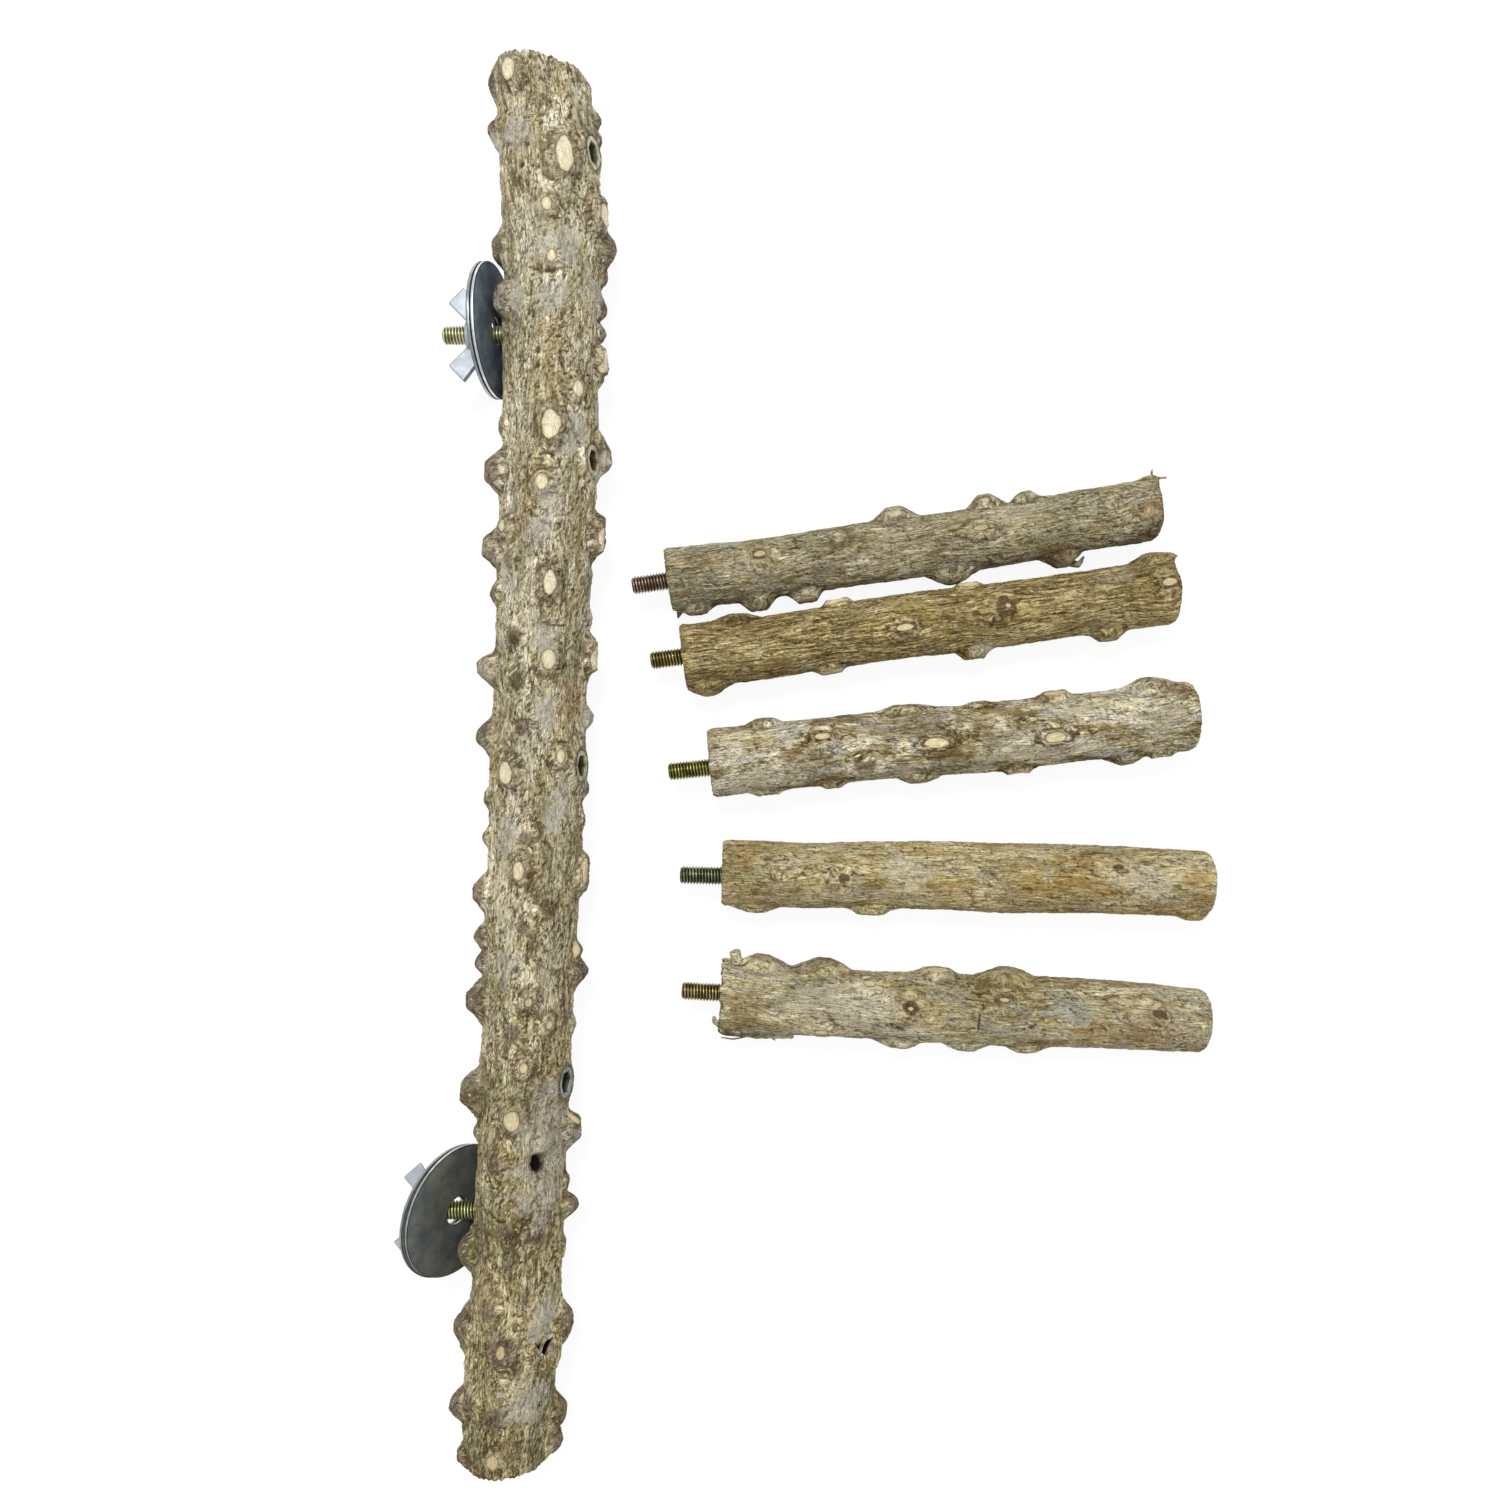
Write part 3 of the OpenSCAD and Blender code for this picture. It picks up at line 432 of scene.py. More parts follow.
def makeLog(name, log, matrix):
    length, width, rings, sides, seed = (log[k] for k in ("length", "width", "rings", "sides", "seed"))
    t, a = np.meshgrid(np.linspace(0, 1, rings), 360 / sides * np.arange(sides), indexing="ij")
    around = np.radians(a)
    sine, cosine = np.sin(around), np.cos(around)
    place = np.stack([t * length, sine * width / 2, cosine * width / 2], -1)
    fields = fieldsOf(log, t, a, place)
    for shift, tintField in enumerate(("grey", "dark", "warm", "pale")):
        fields[tintField] = stainOf(log, log[tintField], t, a, place, seed + 100 + 10 * shift)
    relief, fields["hollow"] = reliefOf(log, fields)
    relief += fields.pop("rise")
    fields["crease"] = cavityOf(relief, 3) + 0.6 * cavityOf(relief, 1)
    lobes = 1 + logForm["twoLobes"] * np.sin(2 * around + np.radians(500 * t))
    lobes += logForm["threeLobes"] * np.sin(3 * around - np.radians(900 * t))
    radius = width / 2 * along(log["girths"], t) * lobes + relief
    fields["pit"] = np.zeros(t.shape)
    # the near black that the bark gives the knot holes is painted shade
    for *hole, depth in log["holes"]:  # knot holes sink in and are dark
        pit = stainOf(log, [hole], t, a, place, seed + 60)
        fields["pit"] = np.maximum(fields["pit"], pit)
        radius -= depth * pit**1.5
    # both ends: a worn edge, a slanted cut, chips, and torn fibres that hang over
    fromEnd = np.minimum(t, 1 - t) * length
    radius -= logForm["edgeDrop"] * smooth(logForm["edgeReach"], 0, fromEnd)
    low, high = log["slants"][0] * np.maximum(0, 1 - 8 * t), log["slants"][1] * np.maximum(0, 8 * t - 7)
    y = t * length + (low + high) * radius * sine + (np.abs(low) - np.abs(high)) * width / 2
    chips = np.clip(noise(np.stack([4 * sine, 4 * cosine, 9 * np.round(t)], -1), seed + 80, 3, 0.7) + 0.15, 0, 1)
    y += chips * smooth(logForm["chipReach"], 0, fromEnd) * np.where(t < 0.5, log["chips"][0], -log["chips"][1])
    y += np.interp(wrapped(a), *log["overhang"]) * smooth(logForm["overhangReach"], 0, (1 - t) * length)
    skin = np.stack([along(log["bows"], t) * length + radius * sine, y, radius * cosine], -1)

    # the bark is cut flat round each insert
    for seat in log["seats"]:
        toSeat, toLog = np.array(seat.inverted()), np.array(seat)
        local = (skin * mm @ toSeat[:3, :3].T + toSeat[:3, 3]) / mm
        fromRim = np.hypot(local[..., 0], local[..., 1]) - insertSeats["bore"][0]
        above = local[..., 2] > -logForm["seatDepth"]
        # painted shade: a dark ring on the bark where it meets the insert's lip
        tintField = 0.8 * smooth(1, 0.2, np.abs(fromRim - logForm["seatShade"])) * above
        fields["dark"] = np.maximum(fields["dark"], tintField)
        level = smooth(logForm["seatReach"], logForm["seatFlat"], fromRim) * above
        local[..., 2] += level * (logForm["seatLevel"] - local[..., 2])
        skin = (local * mm @ toLog[:3, :3].T + toLog[:3, 3]) / mm

    # one closed skin, with the values that its materials read at every point
    foot, inward = sawnEnd(skin[0], seed + 90)
    head, _ = sawnEnd(skin[-1], seed + 91)
    piece = skinRings(name, np.concatenate([foot[::-1], skin, head]), log["materials"])
    mesh = piece.data
    fields["barkPlace"] = np.concatenate([foot[::-1], fields["barkPlace"], head])
    pith = np.repeat(inward, sides, 1)
    fields["fromPith"] = np.concatenate([pith[::-1], np.ones(t.shape), pith])
    for field, values in fields.items():
        if len(values) == rings:
            blank = np.full(pith.shape, farAway if field == "sawn" else 0.0)
            values = np.concatenate([blank, values, blank])
        giveAttribute(mesh, field, values.reshape(-1, *values.shape[2:]))
    bark, end = np.zeros((rings - 1) * sides, np.int32), np.ones(len(inward) * sides, np.int32)
    mesh.polygons.foreach_set("material_index", np.concatenate([end, bark, end, [1, 1]]))
    # bores and slivers, then the log is laid in its place
    work = bmesh.new()
    work.from_mesh(mesh)
    for bore in log["bores"]:
        drill(work, *bore)
    addSlivers(work, log["slivers"], seed + 95)
    bmesh.ops.recalc_face_normals(work, faces=work.faces)
    work.transform(matrix)
    for vertex in work.verts:
        vertex.co.z = max(vertex.co.z, 0)  # bark that would dip under the table rests on it
    work.to_mesh(mesh)
    work.free()
    mesh.shade_smooth()
    return piece


# Bark: streaks and blotches over one palette, thin dark seams, stains and the sawn faces of the knots
def barkMaterial(name, look):
    material, add = newMaterial(name)
    field = {key: add("Attribute", {}, attribute_name=key) for key in look["fields"]}
    value = {key: node.outputs["Fac"] for key, node in field.items()}
    place = field["barkPlace"].outputs["Vector"]
    for key, length, width, detail, rough, distortion in look["noises"] + look["seams"]:
        cell = add("VectorMath", {0: place, 1: [1 / length, 1 / width, 1 / width]}, operation="MULTIPLY")
        inputs = {"Vector": cell, "Scale": 1, "Detail": detail, "Roughness": rough, "Distortion": distortion}
        value[key] = add("TexNoise", inputs).outputs["Fac"]
    # a seam is where its noise passes its middle: a thin wandering line
    for key, *_ in look["seams"]:
        middle = add("Math", {0: value[key], 1: 0.5}, operation="SUBTRACT")
        value[key] = add("Math", {0: middle}, operation="ABSOLUTE").outputs[0]

    # one value that runs from the darkest fibres to the palest ones
    tone = 0.5 - sum(look["tones"]) / 2
    for key, share in zip(("broad", "blotch", "lump", "fibre", "grain"), look["tones"]):
        tone = add("Math", {0: value[key], 1: share, 2: tone}, operation="MULTIPLY_ADD")
    stops = [0.3, 0.42, 0.5, 0.58, 0.7]
    colour = setStops(add("ValToRGB", {"Fac": tone}), stops, look["palette"])
    wood = setStops(add("ValToRGB", {"Fac": value["grain"]}), [0.3, 0.5, 0.7], look["wood"])
    if "farPalette" in look:
        reach = add("SeparateXYZ", {0: place}), *look["farReach"]
        far = setStops(add("ValToRGB", {"Fac": tone}), stops, look["farPalette"])
        colour = layOver(add, colour, far, 1, *reach)
        wood = layOver(add, wood, look["farWood"], 0.7, *reach)
    for tint, amount, *spans in look["layers"]:
        spans = [value.get(item, item) for item in spans]
        colour = layOver(add, colour, tint, amount, *spans, ease="SMOOTHSTEP")

    # cut wood: cream, with darker fibres, and a thin dark line where the bark starts
    wood = layOver(add, wood, look["woodRim"], 0.6, value["sawn"], -0.7, 0)
    wood = layOver(add, wood, look["barkRim"], 0.8, value["sawn"], 0.06, 0.2)
    colour = layOver(add, colour, wood, 1, value["sawn"], 0.5, 0.25)
    # painted shade: knot holes and the torn gap go near black
    colour = layOver(add, colour, look["pit"], 1, value["pit"], 0.15, 0.7)
    relief = 0
    for key, full, share in look["bumps"]:
        part = add("MapRange", {"Value": value[key], "From Max": full, "To Max": share})
        relief = add("Math", {0: part, 1: relief}, operation="ADD")
    closeMaterial(add, colour, relief, 1, look["bump"], look["gloss"])
    return material


# Sawn wood: dull, with rings round the pith, broken by blotches and grit of these sizes in mm, and a dark rim
endGrain = {"blotchLength": 5, "blotchWidth": 1.818, "grit": 1 / 3, "rings": 46, "waver": 0.12, "rimStart": 0.9}


def endMaterial(name, grain, rim):
    material, add = newMaterial(name)
    pith = add("Attribute", {}, attribute_name="fromPith").outputs["Fac"]
    place = add("Attribute", {}, attribute_name="barkPlace").outputs["Vector"]
    length, width = endGrain["blotchLength"], endGrain["blotchWidth"]
    cells = add("VectorMath", {0: place, 1: [1 / length, 1 / width, 1 / width]}, operation="MULTIPLY")
    blotch = add("TexNoise", {"Vector": cells, "Scale": 1, "Detail": 4, "Roughness": 0.6})
    grit = add("TexNoise", {"Vector": place, "Scale": 1 / endGrain["grit"], "Detail": 2, "Roughness": 0.7})
    bent = add("Math", {0: blotch, 1: endGrain["waver"], 2: pith}, operation="MULTIPLY_ADD")
    rings = add("Math", {0: bent, 1: endGrain["rings"]}, operation="MULTIPLY")
    rings = add("Math", {0: rings}, operation="SINE")
    tone = add("Math", {0: rings, 1: 0.09, 2: blotch}, operation="MULTIPLY_ADD")
    tone = add("Math", {0: grit, 1: 0.35, 2: tone}, operation="MULTIPLY_ADD")
    colour = setStops(add("ValToRGB", {"Fac": tone}), [0.4, 0.66, 0.95], grain)
    colour = layOver(add, colour, rim, 1, pith, endGrain["rimStart"], 0.95)
    closeMaterial(add, colour, tone, 0.3, 0.6, {"Roughness": 0.8, "IOR": 1.45})
    return material


# What every bark shares. A noise has its size along and across the log in mm, its detail, its roughness and
# its distortion; a layer its colour, its strength, and from where to where on a value it fades in
barkBase = {
    "gloss": {"Roughness": 0.82, "IOR": 1.45, "Specular IOR Level": 0.12},
    "fields": [
        "barkPlace", "sawn", "bud", "hollow", "crease", "crack", "ringed", "halo", "pit", "grey", "dark", "warm",
        "pale",
    ],
    "bumps": [
        ["lump", 1, 0.7], ["fibre", 1, 0.35], ["grain", 1, 0.2], ["edge", 0.06, 0.3], ["seam", 0.06, 0.12],
        ["slit", 0.06, 0.15],
    ],
    # pit: the near black of painted shade in the knot holes
    "bump": 0.9, "woodRim": "#c9b183", "barkRim": "#5e4a2c", "pit": "#1d150c",
}
# Old dry bark, left as it grew: chalky cream and grey blotches, browner towards the foot, without any shine
trunkLook = {
    **barkBase,
    "noises": [
        ["broad", 34, 15, 2, 0.5, 0.3], ["blotch", 12, 6, 5, 0.6, 0.4], ["lump", 2.6, 1.7, 5, 0.7, 1],
        ["fibre", 6, 0.85, 3, 0.6, 0.3], ["grain", 1.5, 0.5, 2, 0.7, 0], ["hueOne", 22, 10, 3, 0.55, 0.5],
        ["hueTwo", 11, 7, 3, 0.55, 0.5], ["spot", 0.9, 0.7, 2, 0.6, 0],
    ],
    "seams": [
        ["edge", 4.5, 2.6, 3, 0.6, 0.9], ["seam", 2.4, 1.1, 2, 0.6, 0.6], ["slit", 9, 1, 2, 0.5, 0.4],
        ["check", 1.3, 7, 2, 0.5, 0.6],
    ],
    "tones": [0.8, 1.1, 1.15, 0.85, 0.85],
    "palette": ["#857a5c", "#afa481", "#cec29f", "#e6dcbc", "#fff8e0"],
    "farPalette": ["#564728", "#8a7b4f", "#ad9d6b", "#cbbc89", "#f0e3b6"],
    "farReach": [260, 60],
    "wood": ["#ddd1ab", "#ece2c2", "#f7efd8"], "farWood": "#cbb67e",
    "layers": [
        ["#cbbb86", 0.4, "hueOne", 0.5, 0.6], ["#959b70", 0.4, "hueOne", 0.5, 0.4],
        ["#b8ab9e", 0.4, "hueTwo", 0.53, 0.62], ["#a08862", 0.3, "hueTwo", 0.47, 0.38],
        # painted shade in the creases and painted highlight on the crests
        ["#56472c", 0.6, "crease", 0.04, 0.4], ["#efe5c4", 0.45, "crease", -0.04, -0.4],
        ["#695a4f", 0.82, "bud", 0.05, 0.7], ["#8a7450", 0.3, "ringed", 0.3, 1], ["#67543d", 0.8, "halo", 0.1, 1],
        ["#b0946a", 0.5, "warm", 0.1, 0.9], ["#ddd3b9", 0.65, "pale", 0.1, 0.9],
        # the dark layer carries the dark stains and also the painted shade round the insert seats
        ["#cdc7b6", 0.65, "grey", 0.1, 0.9], ["#5d5232", 0.7, "dark", 0.1, 0.9],
        ["#ede5cd", 0.55, "spot", 0.6, 0.68], ["#5a4a30", 0.6, "spot", 0.4, 0.32],
        ["#4c3c22", 0.7, "slit", 0.04, 0.008, "blotch", 0.44, 0.58],
        ["#4c3c22", 0.85, "edge", 0.024, 0.006, "hueTwo", 0.42, 0.56],
        ["#54432a", 0.6, "seam", 0.035, 0.008, "blotch", 0.56, 0.42],
        ["#3f3019", 0.8, "check", 0.012, 0.003, "hueOne", 0.56, 0.6],
        # the first of these is painted shade down in splits, seams and wrinkle troughs
        ["#4c3b22", 0.7, "hollow", 0.2, 0.9], ["#43351c", 0.75, "crack", 0.15, 0.85],
        ["#bab5a3", 0.6, "grey", 0.75, 1],
    ],
}
insertSeats = {
    "shares": [0.935, 0.717, 0.5, 0.275, 0.089], "angles": [72, 74, 77, 74, 58],
    "mouths": [0.5, 0.49, 0.48, 0.47, 0.49], "bore": [5.1, 13.3, 3],
}
# Of every log: how ragged its knobs are, how far their skirts spread and how plain the rings round them are,
# then how much the cuts at foot and head slant and how deep they are chipped, in mm
trunk = {
    "length": kit["trunkLength"], "width": kit["trunkWidth"], "rings": 628, "sides": 152, "seed": 3,
    "ragged": 0.3, "skirt": 1.1, "eyes": 1, "slants": [0.10, -0.12], "chips": [1.5, 2.2],
    "overhang": [[-180, 180], [0, 0]], "knobs": trunkKnobs,
    # thickness and sideways bow from foot to head, in thousandths of the width and of the length
    "girths": [900, 940, 940, 940, 930, 930, 950, 940, 940, 940, 960, 990, 1000, 1030, 1040, 980],
    "bows": [-21, -19.2, -14.9, -11.7, -9.5, -6.5, -2.9, -0.2, 1.4, 3.4, 6.3, 9.9, 9.9, 12.9, 9, 3.4],
    # the bark's relief: heights, depths and sizes in mm
    "bark": {
        "swell": 0.9, "crust": 0.55, "crustSize": [3.52, 2.2, 2.2], "fibre": 0.35, "fibreSize": [8, 1.3, 1.3],
        "splitDepth": 0.3, "wrinkle": 1.1, "wrinkleDepth": 0.25, "lip": 0.25, "sunk": 0.1, "inset": 0.1,
        "seamDepth": 0.4, "plateSize": [5.5, 3.6, 3.6], "flakeSize": [2.8, 1.9, 1.9],
    },
    # sawn knots: half length and half width in mm, and how brown the eye round each is, in tenths
    "cuts": [
        [983, -28, 3.5, 2, 7], [923, 22, 5.9, 2.2, 6], [887, 2, 1.9, 1.4, 5], [890, 70, 3.7, 2.8, 6],
        [851, 6, 1.8, 1.1, 8], [789, 85, 3.4, 2.1, 5], [762, 38, 2.4, 1.6, 6], [735, 9, 4.2, 2.5, 8],
        [696, 2, 2.3, 1.8, 7], [668, -46, 1.6, 1.5, 7], [662, 86, 3.8, 2.2, 5], [627, 16, 3.6, 1.8, 8],
        [577, 86, 4, 2.2, 5], [574, 18, 3.1, 2.1, 7], [507, 35, 2.3, 1.2, 6], [495, -27, 3.5, 2.2, 7],
        [428, -8, 2.7, 1.7, 7], [425, 82, 4.2, 2.1, 6], [337, 10, 1.2, 1, 9], [320, 35, 1.2, 1, 9],
        [292, 8, 1.4, 1.1, 9], [256, -2, 2.9, 2.3, 6], [155, 74, 1.5, 1.4, 6], [96, -2, 2.1, 1.1, 10],
        [16, -8, 2.4, 1.9, 5], [368, 84, 2.8, 1.5, 6], [250, 86, 2.6, 1.4, 6],
    ],
    # a crack goes on with the place and angle of its other end, and how far it bends, in mm
    "cracks": [
        [753, 24, 725, 46, 1], [716, -1, 707, 23, -2], [678, -11, 668, 14, 0.8], [599, 13, 599, 39, 0.6],
        [901, 30, 896, 53, 0.8], [331, -22, 322, -13, 0.8], [298, -19, 297, 2, 0.3], [333, 66, 322, 67, 0.4],
        [846, -20, 843, 12, 1], [788, 20, 772, 26, 0.7], [462, 5, 452, 30, -1], [190, -30, 185, -8, 0.6],
    ],
    # the knot hole and the torn gap beside the lowest insert, dark with painted shade: rows as for stains, with a
    # depth in mm
    "holes": [[222, 28, 3.1, 2.7, 10, 3], [90.5, 38, 2.8, 1.3, 10, 1.2]],
    # grey scars lie round the sawn knots of the upper part, mostly on their lower side
    "grey": [[k[0] - 1.9 * k[3], k[1], 7, 5, 9] for k in trunkKnobs if k[5] == 5 and k[0] > 450] + [
        [469, 31, 8, 4, 10], [230, 42, 24, 12, 8], [110, 51, 7.5, 7, 10], [54, 30, 9, 9, 8.5],
        [937.5, -75, 6, 5, 10], [824, -37, 5, 4, 10], [829, -58, 5, 4, 8.5], [711, 88, 7, 5, 10],
        [360, -20, 9, 5, 6],
    ],
    "warm": [
        [545, 50, 7, 6, 10], [670, -20, 9, 5, 6], [790, 20, 10, 6, 5], [140, -30, 12, 6, 6],
    ],
    "pale": [
        [870, -20, 12, 6, 6], [600, -10, 10, 5, 5], [350, 30, 12, 5, 5], [651, -65, 5, 5, 5],
        [570, -65, 6, 5, 6], [518, -60, 7, 5, 3.5], [279, -65, 7, 5, 5],
    ],
    "dark": [
        [401, 26, 3.5, 3, 10], [589, -22, 3, 3, 8], [560, -19, 3, 3, 8], [222, 27, 4, 3.5, 9],
        [270, -60, 14, 5, 7], [90, 52, 6, 4, 6], [170, -50, 12, 5, 6],
    ],
    "materials": [
        barkMaterial("oldDryBark", trunkLook),
        endMaterial("sawnTrunkEnd", ["#8d7b58", "#c2b28c", "#e2d6b6"], "#6b5a3c"),
    ],
}
# torn bark hides most of the lowest insert: rows across, along, out and half width in its mouth's frame
tornBark = [
    [
        0.8, [-4, -7, -0.4, 0.9], [-1.5, -4.6, 0.1, 1.7], [0.4, -1.8, 0.4, 1.9], [1.6, 1, 0.2, 1.3],
        [2.6, 3, 0, 0.4],
    ],
    [0.8, [-3.5, -6.5, -0.2, 1.3], [-3.4, -3.4, 0.2, 1.7], [-3.4, -1, 0.2, 1.3], [-3.9, 0.6, 0, 0.4]],
    [0.7, [2.6, -6.4, -0.4, 1.2], [3.6, -3, 0, 1.6], [4.2, 0, 0, 1.4], [4.6, 3, 0, 1.2], [4, 6.4, -0.3, 0.9]],
    [0.7, [-3.6, 7, -0.6, 1.2], [-2.4, 5, 0, 1.3], [-2.6, 4, 0.1, 0.9], [-3, 3.2, 0.1, 0.4]],
    [0.7, [1, 8, -0.6, 1.2], [1.8, 5.8, 0, 1.1], [3.6, 4.6, 0, 0.9], [4.4, 3, -0.1, 0.5]],
    [0.8, [-6.4, 3, -0.6, 0.8], [-5.2, 1, 0, 0.9], [-5, -1.6, -0.1, 0.7], [-5.8, -4, -0.6, 0.4]],
]


def onTrunk(share):
    return moved(along(trunk["bows"], share) * trunk["length"], share * trunk["length"], 0)


def inLog(matrix, row):
    x, y, z = matrix @ (Vector(row[:3]) * mm) / mm
    return [y, x, z, row[3]]


insertFrames = [
    onTrunk(share) @ turned(angle, "Y") @ moved(0, 0, mouth * trunk["width"])
    for share, angle, mouth in zip(insertSeats["shares"], insertSeats["angles"], insertSeats["mouths"])
]
clampShares = [kit["clampShare"], kit["clampShare"] - kit["clampGap"] / trunk["length"]]
clampFrames = [onTrunk(share) @ turned(-90, "Y") for share in clampShares]
# each bore has a frame with +Z out of its mouth
trunk["bores"] = [[seat, *insertSeats["bore"]] for seat in insertFrames]
trunk["bores"] += [[clamp @ moved(0, 0, kit["clampMouth"]), *kit["clampBore"]] for clamp in clampFrames]
trunk["seats"] = insertFrames
trunk["slivers"] = [[row[0], *(inLog(insertFrames[4], point) for point in row[1:])] for row in tornBark]
trunkPlace = moved(kit["trunkShift"] * trunk["length"], -trunk["length"] / 2, kit["trunkHeight"])
fit(makeLog("barkTrunk", trunk, trunkPlace), "trunk", "trunk")

branchBase = {
    "rings": 280, "sides": 120, "ragged": 0.25, "skirt": 1.25, "eyes": 0.7, "slants": [0, 0], "chips": [0.5, 0.4],
    "overhang": [[-180, 180], [0, 0]], "wood": ["#d0c08c", "#e4d6a6", "#f2e8c6"],
    "bark": {
        **trunk["bark"], "swell": 0.4, "crust": 0.28, "crustSize": [2.88, 1.8, 1.8], "fibre": 0.22,
        "wrinkleDepth": 0.12, "inset": 0.06, "seamDepth": 0.14, "plateSize": [7, 3, 3],
        "flakeSize": [3.6, 1.6, 1.6],
    },
    **{key: [] for key in ("holes", "seats", "cracks", "slivers", "grey", "warm", "pale", "dark")},
}
branchLook = {
    **barkBase,
    "noises": [
        ["broad", 40, 15, 2, 0.5, 0.3], ["blotch", 14, 5, 5, 0.6, 0.4], ["lump", 3.2, 1.4, 5, 0.68, 0.8],
        ["fibre", 8, 0.62, 3, 0.6, 0.3], ["grain", 1.8, 0.42, 2, 0.7, 0], ["hueOne", 20, 8, 3, 0.55, 0.5],
        ["hueTwo", 12, 6, 3, 0.55, 0.5], ["spot", 0.9, 0.6, 2, 0.6, 0],
    ],
    "seams": [
        ["edge", 4.5, 2.2, 3, 0.6, 0.9], ["seam", 2.6, 0.8, 2, 0.6, 0.6], ["slit", 11, 0.9, 2, 0.5, 0.4],
    ],
}
branchLayers = [
    # painted shade in the creases and painted highlight on the crests
    ["#4b3c24", 0.5, "crease", 0.03, 0.3], ["#e6dab4", 0.3, "crease", -0.03, -0.3],
    ["#7d7059", 0.3, "bud", 0.2, 1], ["#7a6340", 0.4, "ringed", 0.3, 1], ["#d8cfb6", 0.6, "pale", 0.1, 0.9],
    ["#a9ab9f", 0.7, "grey", 0.1, 0.9], ["#4f3b20", 0.85, "halo", 0.05, 0.8], ["#4a351c", 0.8, "dark", 0.1, 0.9],
    ["#d8ccab", 0.4, "spot", 0.6, 0.68], ["#4e3e25", 0.45, "spot", 0.4, 0.32],
    ["#40311b", 0.7, "slit", 0.04, 0.008, "blotch", 0.42, 0.58],
    ["#4a3920", 0.45, "seam", 0.035, 0.008, "hueOne", 0.56, 0.42],
    ["#4a3920", 0.6, "edge", 0.022, 0.005, "hueTwo", 0.46, 0.58],
    # the first of these is painted shade down in splits, seams and wrinkle troughs
    ["#40301b", 0.6, "hollow", 0.2, 0.9], ["#44361d", 0.7, "crack", 0.15, 0.85],
]
